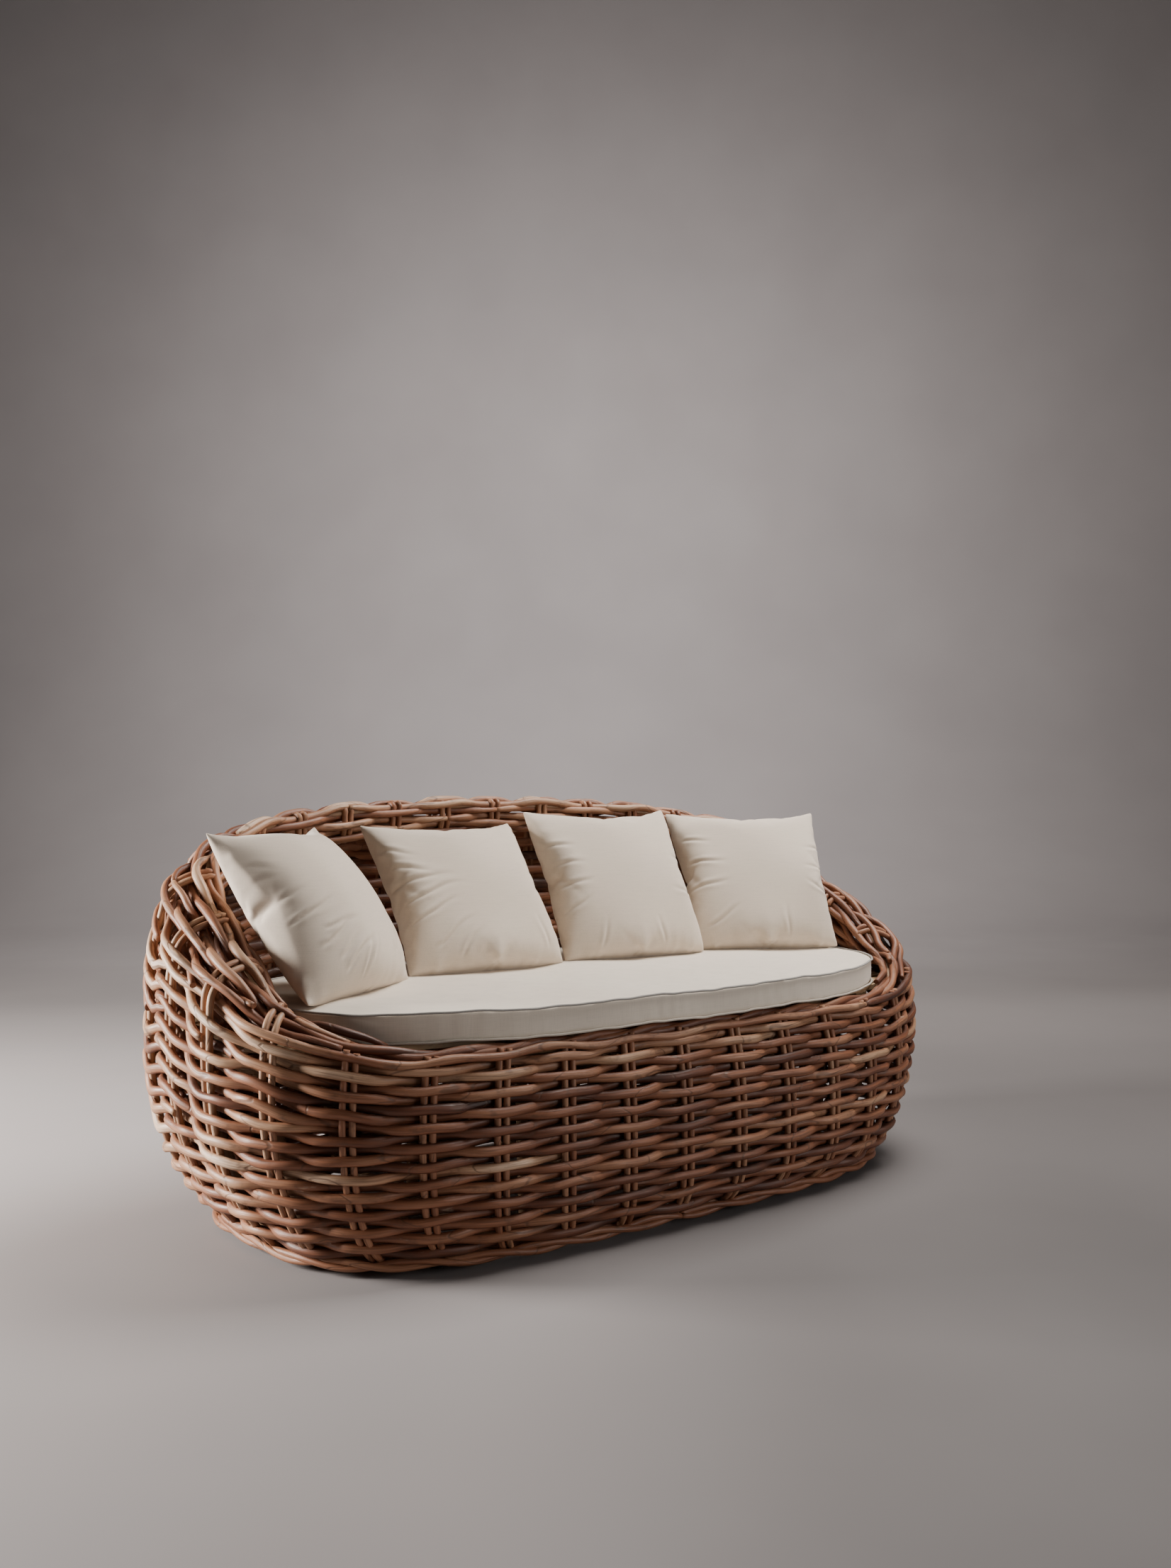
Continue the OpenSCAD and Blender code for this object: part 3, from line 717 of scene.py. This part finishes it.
# ------------------------------------------------------------------ foot border: two twists of two rods
ft = Tubes()
for depth0 in (9.5, 33.5):
    for sg in (1, -1):
        r0 = rng.uniform(6.0, 6.6)
        dz = harmonics(0.8, 8, 30, rng)
        for e0, e1 in ((0, 110), (110, 220), (220, 320)):
            ii = np.arange(e0, e1 + 1) % len(S)
            s, a = S[ii], A[ii]
            ph = 2 * math.pi * (s - START) / PITCH * 0.5
            d = depth0 + sg * 3.4 * np.cos(ph)
            z = 22.6 + sg * 5.6 * np.sin(ph) + dz(s)
            zc = np.full(len(ii), 34.5)
            p = wall(a, zc, d)
            p[:, 2] = z
            t0 = np.clip(rng.normal(-0.05, 0.1), -0.2, 0.2)
            # the foot rods carry the same painted light of the lit end
            ft.add(p, r0 * taper(len(p), 4, 4, 0.85), (0, 0, 1), tone_with_painted_light(p[:, 0], p[:, 1]) + t0, 10)
foot = ft.build("foot_border_rods", M_ROD)

for ob, nodes, sl in ((weave_lower, ("outer_weave",), "weave"), (weave_upper, ("inner_weave",), "weave"),
                      (rim_rods, ("rim_roll",), "weave"), (stakes, ("stakes",), "stake"), (foot, ("foot_border",), "weave")):
    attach(ob, "basket")
    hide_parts(*nodes)

# ------------------------------------------------------------------ seat cushion
SEAT_Z0, SEAT_Z1 = 402.8, 459.8


def oval(a, rx, ry, n, off):
    c, s = np.cos(a), np.sin(a)
    r = ((np.abs(c) / rx) ** n + (np.abs(s) / ry) ** n) ** (-1 / n)
    x, y = r * c, r * s
    nx = np.sign(x) * np.abs(x / rx) ** (n - 1) / rx
    ny = np.sign(y) * np.abs(y / ry) ** (n - 1) / ry
    l = np.hypot(nx, ny)
    return np.stack([x - off * nx / l, y - off * ny / l], -1)


def seat_plan(a, off):
    s = np.sin(a)
    front = oval(a, 756, 470, 3.0, off)
    back = oval(a, 756, 266, 2.3, off)
    p = np.where((s > 0)[:, None], back, front)
    return p + np.array([0, MID])


def even_angles(n):
    t = np.linspace(0, 2 * math.pi, 1441)
    p = seat_plan(t, 0)
    run = np.concatenate([[0], np.cumsum(np.linalg.norm(np.diff(p, axis=0), axis=1))])
    return np.interp(np.arange(n) * run[-1] / n, run, t)


def seat_warp(p):
    """Slow waves of a cushion that has been sat on, shared by the cover and its pipings (mm)."""
    x, y, z = p[:, 0], p[:, 1], p[:, 2]
    q = p.copy()
    q[:, 2] += 1.4 * np.sin(x / 61.0 + 0.7) * np.cos(y / 118.0) + 0.5 * np.sin(x / 31.0 + y / 49.0)
    top = smooth((z - 405) / 50)
    ang = np.arctan2(y - MID, x)
    out = 1.5 * np.sin(9 * ang + 0.6) + 0.6 * np.sin(19 * ang + 2.1)
    q[:, 0] += out * np.cos(ang) * (0.4 + 0.6 * top)
    q[:, 1] += out * np.sin(ang) * (0.4 + 0.6 * top)
    # the stuffing pushes the right end out towards the roll
    q[:, 0] += 15.0 * smooth((x - 520) / 230)
    return q


def mesh_object(name, verts, faces, mat, smooth_all=True):
    me = bpy.data.meshes.new(name)
    me.from_pydata([tuple(v) for v in verts], [], [tuple(int(i) for i in f) for f in faces])
    me.materials.append(mat)
    me.polygons.foreach_set("use_smooth", [smooth_all] * len(me.polygons))
    me.update()
    ob = bpy.data.objects.new(name, me)
    bpy.context.scene.collection.objects.link(ob)
    return ob


def coords(me):
    co = np.empty(len(me.vertices) * 3, np.float32)
    me.vertices.foreach_get("co", co)
    return co.reshape(-1, 3).astype(float)


def set_coords(me, co):
    me.vertices.foreach_set("co", np.asarray(co, np.float32).ravel())
    me.update()


def activate(ob):
    for o in bpy.context.selected_objects:
        o.select_set(False)
    bpy.context.view_layer.objects.active = ob
    ob.select_set(True)


def evaluated(ob):
    dg = bpy.context.evaluated_depsgraph_get()
    ev = ob.evaluated_get(dg)
    me = ev.to_mesh()
    co = coords(me)
    ev.to_mesh_clear()
    return co


def run_cloth(ob, pressure, frames, mass, stiff, bend, pin=None, stop=None, shrink=0.0):
    """Runs cloth on ob with gravity off and returns the vertex places. The modifier is removed afterwards."""
    if pin is not None:
        vg = ob.vertex_groups.new(name="pin")
        for wgt in np.unique(np.round(pin, 1)):
            if wgt > 0:
                vg.add([int(i) for i in np.flatnonzero(np.round(pin, 1) == wgt)], float(wgt), "REPLACE")
    md = ob.modifiers.new("cloth", "CLOTH")
    st_ = md.settings
    st_.quality = 6
    st_.mass = mass
    st_.tension_stiffness = stiff
    st_.compression_stiffness = stiff
    st_.shear_stiffness = stiff * 0.5
    st_.bending_stiffness = bend
    st_.tension_damping = 5
    st_.air_damping = 2.0
    st_.use_pressure = True
    st_.uniform_pressure_force = pressure
    st_.effector_weights.gravity = 0.0
    st_.shrink_min = shrink
    if pin is not None:
        st_.vertex_group_mass = "pin"
        st_.pin_stiffness = 1.0
    md.collision_settings.use_collision = False
    md.point_cache.frame_start = 1
    md.point_cache.frame_end = frames + 1
    sc = bpy.context.scene
    sc.frame_start, sc.frame_end = 1, frames + 1
    out = None
    for f in range(1, frames + 1):
        sc.frame_set(f)
        if f >= 3 and (stop is not None or f == frames):
            out = evaluated(ob)
            if stop is not None and stop(out):
                break
    ob.modifiers.remove(md)
    sc.frame_set(1)
    return out


def subdivide(ob, levels):
    md = ob.modifiers.new("sub", "SUBSURF")
    md.levels = md.render_levels = levels
    activate(ob)
    bpy.ops.object.modifier_apply(modifier=md.name)


def seat_cushion():
    """Boxed cushion: a closed form a little smaller than its solid, blown up with its edges sewn in place."""
    na, inset = 220, 4.0
    t = even_angles(na)
    rim = seat_plan(t, inset)
    fr = [0.12, 0.24, 0.36, 0.47, 0.57, 0.66, 0.74, 0.81, 0.87, 0.915, 0.95, 0.975, 0.992]
    c = np.array([0, MID - 80.0])
    verts, rings = [], []

    def ring(f, z):
        p = c + (rim - c) * f
        rings.append(len(verts))
        for q in p:
            verts.append((q[0], q[1], z))

    for f in fr:
        ring(f, SEAT_Z1 - 2.0)
    ring(1.0, SEAT_Z1 - 4.0)
    for k in range(1, 8):
        ring(1.0, SEAT_Z1 - 4.0 - (SEAT_Z1 - SEAT_Z0 - 8.0) * k / 8)
    ring(1.0, SEAT_Z0 + 4.0)
    for f in fr[::-1]:
        ring(f, SEAT_Z0 + 1.2)
    faces = []
    for r0, r1 in zip(rings[:-1], rings[1:]):
        for i in range(na):
            j = (i + 1) % na
            faces.append((r0 + i, r1 + i, r1 + j, r0 + j))
    ct = len(verts)
    verts.append((c[0], c[1], SEAT_Z1 - 2.0))
    cb = len(verts)
    verts.append((c[0], c[1], SEAT_Z0 + 1.2))
    for i in range(na):
        j = (i + 1) % na
        faces.append((ct, rings[0] + i, rings[0] + j))
        faces.append((cb, rings[-1] + j, rings[-1] + i))
    ob = mesh_object("seat_cushion_cover", np.array(verts) * 0.001, faces, M_LINEN)
    base = coords(ob.data) * 1000
    activate(ob)
    ob.data.remesh_voxel_size = 0.0075
    bpy.ops.object.voxel_remesh()
    ob.data.polygons.foreach_set("use_smooth", [True] * len(ob.data.polygons))
    base = coords(ob.data) * 1000
    a = np.arctan2(base[:, 1] - MID, base[:, 0])
    edge = seat_plan(a, inset) - np.array([0, MID])
    dist = np.hypot(edge[:, 0], edge[:, 1]) - np.hypot(base[:, 0], base[:, 1] - MID)
    near_top = (np.abs(base[:, 2] - (SEAT_Z1 - 3)) < 5.5) & (dist < 12)
    near_bot = (np.abs(base[:, 2] - (SEAT_Z0 + 3)) < 5.5) & (dist < 12)
    under = base[:, 2] < SEAT_Z0 + 2.5
    pin = np.where(near_top | near_bot | under, 1.0, 0.0)
    out = run_cloth(ob, 3.2, 14, 0.25, 12.0, 0.6, pin=pin)
    d = out * 1000 - base
    l = np.linalg.norm(d, axis=1)
    cap = np.where(base[:, 2] > SEAT_Z1 - 8, 8.0, 4.5)
    d *= (cap * np.tanh(l / cap) / np.maximum(l, 1e-6))[:, None]
    base = base + d
    print("seat cloth: moved up to", round(float(l.max()), 1), "mm before the cap")
    # creases of the cover: fine fans by the edge of the top, long shallow hollows, faint vertical pulls on the band
    x, y, z = base[:, 0], base[:, 1], base[:, 2]
    a = np.arctan2(y - MID, x)
    edge = seat_plan(a, 0) - np.array([0, MID])
    dist = np.hypot(edge[:, 0], edge[:, 1]) - np.hypot(x, y - MID)
    topf = smooth((z - 452) / 5.0)
    run = a * 560
    pull = np.sin(run / 9.5 + 2.2 * np.sin(run / 71.0)) * (0.5 + 0.5 * np.sin(run / 43.0 + 1.3))
    base[:, 2] += topf * pull * 0.9 * np.exp(-((dist - 22) / 16.0) ** 2)
    base[:, 2] += topf * (1.2 * np.sin(x / 83.0 + y / 57.0) + 0.8 * np.sin(x / 41.0 - y / 66.0 + 1.0)) * smooth(dist / 60.0)
    band = (1 - topf) * smooth((z - 408) / 8.0)
    ripple = np.sin(run / 6.1 + 1.8 * np.sin(run / 37.0)) * (0.45 + 0.55 * np.sin(run / 57.0))
    base[:, 0] += band * 0.55 * ripple * np.cos(a)
    base[:, 1] += band * 0.55 * ripple * np.sin(a)
    set_coords(ob.data, seat_warp(base) * 0.001)
    subdivide(ob, 1)
    return ob


def seat_piping(name, z, mat, wob):
    n = 420
    t = even_angles(n)
    tb = Tubes()
    p = seat_plan(t, 1.6)
    zz = z + 0.6 * np.sin(t * 31 + wob) + 0.4 * np.sin(t * 57 + 2 * wob)
    pts = seat_warp(np.column_stack([p, zz]))
    pts = np.vstack([pts, pts[:1]])
    # a closed round: the two ends meet at the middle of the back
    k = n // 4
    pts = np.vstack([pts[k:-1], pts[:k + 1]])
    tb.add(pts, 2.3, (0, 0, 1), 0.5, 8)
    ob = tb.build(name, mat)
    return ob


seat = seat_cushion()
pipe_t = seat_piping("seat_piping_top_cord", SEAT_Z1 - 2.6, M_PIPE_T, 0.4)
pipe_b = seat_piping("seat_piping_bottom_cord", SEAT_Z0 + 3.4, M_PIPE_B, 1.9)


def zip_strip():
    """Zip in the band at the back: tape, two rows of teeth and a small slider."""
    tb_v, tb_f = [], []

    def boxy(x0, x1, off0, off1, z0, z1):
        b = len(tb_v)
        for x in (x0, x1):
            f = (1 - (abs(x) / 756) ** 2.3) ** (1 / 2.3)
            for off in (off0, off1):
                for z in (z0, z1):
                    tb_v.append((x * 0.001, (266 * f + MID + off) * 0.001, z * 0.001))
        for q in ((0, 1, 3, 2), (4, 6, 7, 5), (0, 4, 5, 1), (2, 3, 7, 6), (0, 2, 6, 4), (1, 5, 7, 3)):
            tb_f.append(tuple(b + i for i in q))

    xs = np.linspace(-198, 198, 23)
    for x0, x1 in zip(xs[:-1], xs[1:]):
        boxy(x0, x1 + 0.01, 0.5, 3.6, 424.8, 437.8)
    for k, x in enumerate(np.linspace(-194, 194, 130)):
        boxy(x - 0.9, x + 0.9, 3.2, 4.8, 430.2 + 0.3 * (k % 2), 432.6 + 0.3 * (k % 2))
    boxy(186, 194, 3.2, 6.2, 428.3, 434.3)
    return mesh_object("seat_zip_strip", np.array(tb_v), tb_f, M_ZIP, False)


zipper = zip_strip()
for ob, nodes, sl in ((seat, ("seat_cover_top", "seat_cover_band", "seat_cover_bottom", "seat_foam"), "linen"),
                      (pipe_t, ("seat_piping_top",), "piping"), (pipe_b, ("seat_piping_bottom",), "piping"),
                      (zipper, ("seat_zip",), "zip")):
    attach(ob, "seat_cushion")
    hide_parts(*nodes)

# ------------------------------------------------------------------ scatter pillows
place = [(-552, -78, -31.7, 35.8), (-188, 42, 1.3, 36.2), (207, 31.7, 5.2, 28.9), (569, -26, 25.5, 32.2)]
# folds on the front of each pillow: start u, v, direction in degrees, length, width, height (mm, u and v from -1 to 1)
folds = [
    [(-0.96, 0.34, -24, 60, 12, 1.4), (-0.86, -0.24, 18, 110, 10, 4.4), (-0.74, -0.56, 24, 130, 10, 4.8),
     (-0.55, -0.84, 32, 130, 9, 5.0), (-0.30, -0.95, 58, 90, 9, 3.5), (0.45, -0.80, 62, 150, 13, 3.5), (0.62, -0.86, 74, 170, 12, 3.2), (-0.92, 0.52, -48, 70, 11, 1.2),
     (-0.94, 0.02, 4, 80, 10, 2.6), (-0.66, -0.40, 6, 90, 9, 3.6), (-0.60, -0.72, 30, 80, 9, 3.6), (-0.16, -0.86, 50, 70, 9, 3.0)],
    [(-0.98, 0.30, -16, 120, 11, 3.6), (-0.97, 0.02, 10, 150, 11, 4.6), (-0.95, -0.26, 24, 170, 10, 5.2), (-0.90, -0.50, 30, 150, 9, 4.5),
     (-0.70, -0.80, 38, 130, 9, 4.6), (-0.45, -0.93, 48, 100, 9, 3.6), (-0.95, 0.56, -34, 90, 11, 2.8), (0.75, -0.88, 98, 90, 11, 2.6)],
    [(-0.97, 0.42, -10, 80, 9, 3.2), (-0.97, 0.14, 6, 90, 9, 3.6), (-0.97, -0.16, 14, 100, 9, 3.6), (-0.95, -0.48, 24, 90, 9, 3.4),
     (-0.60, -0.93, 62, 80, 9, 3.0), (0.96, 0.20, 182, 70, 9, 2.6), (0.96, -0.30, 170, 90, 9, 3.0), (0.30, -0.95, 100, 80, 10, 2.6)],
    [(-0.97, 0.46, -12, 80, 9, 3.2), (-0.97, 0.10, 4, 110, 9, 3.8), (-0.97, -0.28, 16, 110, 9, 3.8), (-0.80, -0.80, 38, 110, 9, 3.6),
     (0.96, 0.36, 188, 80, 9, 3.2), (0.96, 0.02, 178, 90, 9, 3.4), (0.96, -0.36, 166, 100, 9, 3.6), (0.20, -0.95, 84, 90, 10, 2.8)],
]


sags = (9.0, 11.0, 6.0, 6.0)
bellies = (9.0, 23.0, 20.0, 18.0)
# how far the left and right seams bow out, then shifts of the top right, top left and bottom right corners
sides = ((5, 9, 0, 4, 0), (5, 15, 3, 0, 4), (14, 12, 8, -3, 3), (20, 3, -4, -12, -13))


def fold_height(x, y, fl):
    out = np.zeros(len(x))
    for u0, v0, ang, ln, wd, amp in fl:
        t = math.radians(ang)
        dx, dy = x - u0 * 192, y - v0 * 192
        al = dx * math.cos(t) + dy * math.sin(t)
        # folds curve a little on their way in
        ac = -dx * math.sin(t) + dy * math.cos(t) + 0.0011 * al * al * (1 if amp > 3.5 else -1) + 2.2 * np.sin(al / 17.0 + u0 * 9)
        w = 0.66 * wd * (0.7 + 0.6 * np.clip(al / ln, 0, 1))
        fade = smooth(al / 18.0) * smooth((ln - al) / (0.7 * ln))
        q = ac / (1.15 * w)
        # a sharp valley between two soft ridges, one higher than the other
        out += 0.8 * amp * fade * (0.75 * np.exp(-((q - 1.25) / 0.85) ** 2) + 0.45 * np.exp(-((q + 1.3) / 1.0) ** 2)
                                   - 1.15 * np.exp(-(np.abs(q) / 0.55) ** 1.5))
    return out


def pillow_shape(n, r):
    """Two square sheets sewn round their edges, to be blown up by cloth simulation later. Returns places (mm), faces
    and the seam's vertices; z is the thickness.
    """
    ng, half = 40, 208.0
    g_ = np.linspace(-1, 1, ng + 1)
    idx = {}
    verts, faces = [], []
    for w in (1, -1):
        for j in range(ng + 1):
            for i in range(ng + 1):
                edge = i in (0, ng) or j in (0, ng)
                if w < 0 and edge:
                    idx[(w, i, j)] = idx[(1, i, j)]
                    continue
                u, v = g_[i], g_[j]
                b = (1 - abs(u) ** 4) * (1 - abs(v) ** 4)
                idx[(w, i, j)] = len(verts)
                verts.append((half * u, half * v, w * (1.5 + 16.0 * b + 1.2 * math.sin(5 * u + 3 * v + n) * b)))
        for j in range(ng):
            for i in range(ng):
                q = [idx[(w, i, j)], idx[(w, i + 1, j)], idx[(w, i + 1, j + 1)], idx[(w, i, j + 1)]]
                faces.append(q if w > 0 else q[::-1])
    # the seam itself lies flat
    v = np.array(verts)
    border = sorted(set(idx[(1, i, j)] for i in range(ng + 1) for j in range(ng + 1) if i in (0, ng) or j in (0, ng)))
    v[border, 2] = 0
    return v, faces, border


def make_pillow(n):
    v, faces, border = pillow_shape(n, rng)
    ob = mesh_object("pillow_%d_cover" % (n + 1), v * 0.001, faces, M_PILLOW)
    out = run_cloth(ob, 5.0, 30, 0.2, 14.0, 0.35, stop=lambda c: (c[:, 2].max() - c[:, 2].min()) > 0.128)
    p = out * 1000
    size0 = p.max(0) - p.min(0)
    print("pillow", n + 1, "size after the cloth", np.round(size0, 1))
    p -= (p.max(0) + p.min(0)) / 2
    p *= np.array([384 / size0[0], 384 / size0[1], 114 / size0[2]])
    # the seams are less drawn in than a bare cloth would be, the lower one least, and the weight sits low in the front
    u, w = p[:, 0] / 192, p[:, 1] / 192
    p[:, 0] += np.where(u > 0, sides[n][1], sides[n][0]) * (1 - w ** 2) * u
    p[:, 0] += sides[n][2] * smooth(u) * smooth(w) + sides[n][3] * smooth(-u) * smooth(w) + sides[n][4] * smooth(u) * smooth(-w)
    # the lower seam is pressed straight by the seat
    seam = p[:41][np.argsort(p[:41, 0])]
    low = smooth((-w - 0.05) / 0.85)
    fix_y, fix_z = np.interp(p[:, 0], seam[:, 0], seam[:, 1]), np.interp(p[:, 0], seam[:, 0], seam[:, 2])
    p[:, 1] += (-189 - fix_y) * low
    p[:, 2] -= fix_z * low
    # the other three seams are pulled back into the middle of the thickness too
    for e, c, sg in ((p[0:1681:41], 0, -1), (p[40:1681:41], 0, 1), (p[1640:1681], 1, 1)):
        o = 1 - c
        e = e[np.argsort(e[:, o])].copy()
        near = smooth((sg * p[:, c] / 192 - (0.60 if n == 0 else 0.15)) / (0.35 if n == 0 else 0.75))
        p[:, 2] -= np.interp(p[:, o], e[:, o], e[:, 2]) * near
    # where the cloth has buckled on the first pillow its front is ironed before the folds go in
    for k in range(24 if n == 0 else 0):
        z = p[:1681].reshape(41, 41, 3).copy()
        z[1:-1, 1:-1] = 0.5 * z[1:-1, 1:-1] + 0.125 * (z[:-2, 1:-1] + z[2:, 1:-1] + z[1:-1, :-2] + z[1:-1, 2:])
        p[:1681] = z.reshape(-1, 3)
    p[:, 1] += np.where(w < 0, -3.0 * (1 - u ** 2), -sags[n] * (1 - u ** 4) - 2.0 * np.exp(-((u - 0.55) / 0.16) ** 2)) * np.abs(w)
    full = np.clip(1 - u ** 2, 0, 1) * np.clip(1 - w ** 2, 0, 1)
    p[:, 2] += np.where(p[:, 2] > 0, 1, 0) * (bellies[n] * full ** 0.38 * (1 - 0.35 * w))
    if n == 0:
        # the first pillow is bent round by the arm: a soft ridge runs down it and the part left of the ridge falls away
        d = u + 0.22 + 0.10 * w
        tent = 1 - (np.sqrt(d ** 2 + 0.02) - 0.14) / np.where(d < 0, 0.80, 1.25)
        p[:, 2] += np.where(p[:, 2] > 0, 1, 0) * 38.0 * np.clip(tent, 0, 1) * np.clip(1 - w ** 2, 0, 1) ** 0.6
    set_coords(ob.data, p * 0.001)
    subdivide(ob, 2)
    p = coords(ob.data) * 1000
    # folds and soft dents pressed in one by one; the back of the pillow is smoother
    fr = smooth((p[:, 2] + 2) / 10.0)
    p[:, 2] += fr * fold_height(p[:, 0], p[:, 1], folds[n])
    k = n * 1.7
    # small puckers running in from the seams
    for c0, c1 in ((p[:, 0], p[:, 1]), (p[:, 1], p[:, 0])):
        near = np.exp(-(196 - np.abs(c0)) / 15.0) * smooth((196 - np.abs(c0)) / 9.0)
        p[:, 2] += fr * 3.0 * near * np.sin(c1 / 6.2 + 1.9 * np.sin(c1 / 33.0 + k)) * (0.5 + 0.5 * np.sin(c1 / 47.0 + k * 2 + np.sign(c0)))
    p[:, 2] += fr * (1.6 * np.sin(p[:, 0] / 44 + k) * np.cos(p[:, 1] / 52 - k)) * np.clip(1 - (np.abs(p[:, 0]) / 185) ** 4, 0, 1) * np.clip(1 - (np.abs(p[:, 1]) / 185) ** 4, 0, 1)
    x, y, turn, lean = place[n]
    m = Matrix.Translation((x, y, 465.3 - 3.0)) @ Matrix.Rotation(math.radians(-turn), 4, "Z") @ Matrix.Rotation(math.radians(90 - lean), 4, "X")
    mm = np.array(m)
    p[:, 1] += 192
    q = p @ mm[:3, :3].T + mm[:3, 3]
    # the lower edge presses flat on the seat
    q[:, 2] = np.maximum(q[:, 2], 461.5 + 0.15 * (q[:, 2] - 461.5))
    set_coords(ob.data, q * 0.001)
    return ob


for n in range(4):
    ob = make_pillow(n)
    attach(ob, "pillow_%d" % (n + 1))
    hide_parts(*["pillow_%d_%s" % (n + 1, part) for part in ("front", "back", "pad")])

# ------------------------------------------------------------------ floor, light and camera


def studio():
    prof = [(-9.0, 0.0), (5.0, 0.0)]
    for k in range(1, 17):
        t = math.radians(90 * k / 16)
        prof.append((5.0 + 3.0 * math.sin(t), 3.0 - 3.0 * math.cos(t)))
    prof.append((8.0, 8.0))
    verts, faces = [], []
    yaw = math.radians(-37.5)
    for y, z in prof:
        for x in (-11.0, 11.0):
            verts.append((x * math.cos(yaw) - y * math.sin(yaw), x * math.sin(yaw) + y * math.cos(yaw), z))
    for k in range(len(prof) - 1):
        faces.append((2 * k, 2 * k + 1, 2 * k + 3, 2 * k + 2))
    m, nt, bs = new_mat("studio_grey")
    co = node(nt, "ShaderNodeTexCoord").outputs["Object"]
    f = noise(nt, co, 1.3, 3.0)
    col = ramp(nt, f, [(0.3, (0.315, 0.286, 0.282)), (0.7, (0.340, 0.310, 0.305))])
    sep = nt.nodes.new("ShaderNodeSeparateXYZ")
    nt.links.new(co, sep.inputs[0])
    # painted light and shadow on the floor: paler away from the sofa to the back and to its left, with a painted shadow
    # darker to the right of it
    away = maths(nt, "ADD", maths(nt, "MULTIPLY", sep.outputs[0], 0.609), maths(nt, "MULTIPLY", sep.outputs[1], 0.793))
    across = maths(nt, "SUBTRACT", maths(nt, "MULTIPLY", sep.outputs[0], 0.793), maths(nt, "MULTIPLY", sep.outputs[1], 0.609))
    painted_light_away = ramp(nt, maths(nt, "MULTIPLY", maths(nt, "ADD", away, 2.0), 0.125, True), [(0.0, g(0.66)), (0.09, g(0.74)), (0.19, g(0.81)), (0.30, g(1.0)), (1.0, g(1.02))], "EASE")
    painted_light_across = ramp(nt, maths(nt, "MULTIPLY", maths(nt, "ADD", across, 1.2), 0.3, True), [(0.0, g(1.14)), (0.14, g(1.08)), (0.30, g(0.93)), (0.50, g(0.53)), (0.70, g(0.38)), (1.0, g(0.38))], "EASE")
    # the painted shadow on the right is kept to the floor near the sofa
    low = ramp(nt, maths(nt, "MULTIPLY", sep.outputs[2], 0.5, True), [(0.0, g(1.0)), (0.05, g(1.0)), (0.6, g(0.0))], "EASE")
    col = mix(nt, "MULTIPLY", 1.0, col, painted_light_away)
    near = ramp(nt, maths(nt, "MULTIPLY", maths(nt, "ADD", away, 2.0), 0.125, True), [(0.0, g(1.0)), (0.36, g(1.0)), (0.62, g(0.12)), (1.0, g(0.0))], "EASE")
    col = mix(nt, "MULTIPLY", maths(nt, "MULTIPLY", low, near), col, painted_light_across)
    nt.links.new(col, bs.inputs["Base Color"])
    nt.links.new(ramp(nt, f, [(0.3, g(0.78)), (0.7, g(0.70))]), bs.inputs["Roughness"])
    ob = mesh_object("studio_floor", verts, faces, m)


studio()


def area(name, loc, target, size, power, color):
    d = bpy.data.lights.new(name, "AREA")
    d.shape = "RECTANGLE"
    d.size, d.size_y = size
    d.energy = power
    d.color = color
    o = bpy.data.objects.new(name, d)
    bpy.context.scene.collection.objects.link(o)
    o.location = loc
    o.rotation_euler = (Vector(target) - Vector(loc)).to_track_quat("-Z", "Y").to_euler()
    return o


area("key_light", (-3.3, 1.85, 1.20), (-0.5, 0.0, 0.42), (1.0, 0.9), 395.0, (1.0, 0.96, 0.915))
area("top_light", (1.25, -0.25, 3.1), (0.15, 0.0, 0.3), (1.9, 1.7), 160.0, (1.0, 0.96, 0.92))
area("fill_light", (2.5, -4.0, 1.25), (0.12, 0.0, 0.4), (2.2, 1.4), 63.0, (1.0, 0.97, 0.95))
area("back_wall_light", (2.2, 3.0, 3.4), (4.2, 6.2, 2.3), (3.2, 2.2), 215.0, (1.0, 0.97, 0.96))

world = bpy.data.worlds.new("studio_world")
bpy.context.scene.world = world
world.use_nodes = True
bg = world.node_tree.nodes["Background"]
bg.inputs["Color"].default_value = (1.0, 0.97, 0.95, 1)
bg.inputs["Strength"].default_value = 0.06

cam_data = bpy.data.cameras.new("camera")
cam_data.sensor_width = 36.0
cam_data.lens = 32.94
cam_data.clip_end = 60.0
cam = bpy.data.objects.new("camera", cam_data)
bpy.context.scene.collection.objects.link(cam)
cam.location = (-1.869, -2.483, 0.859)
cam.rotation_euler = (math.radians(90), 0.0, math.radians(-37.5))
bpy.context.scene.camera = cam
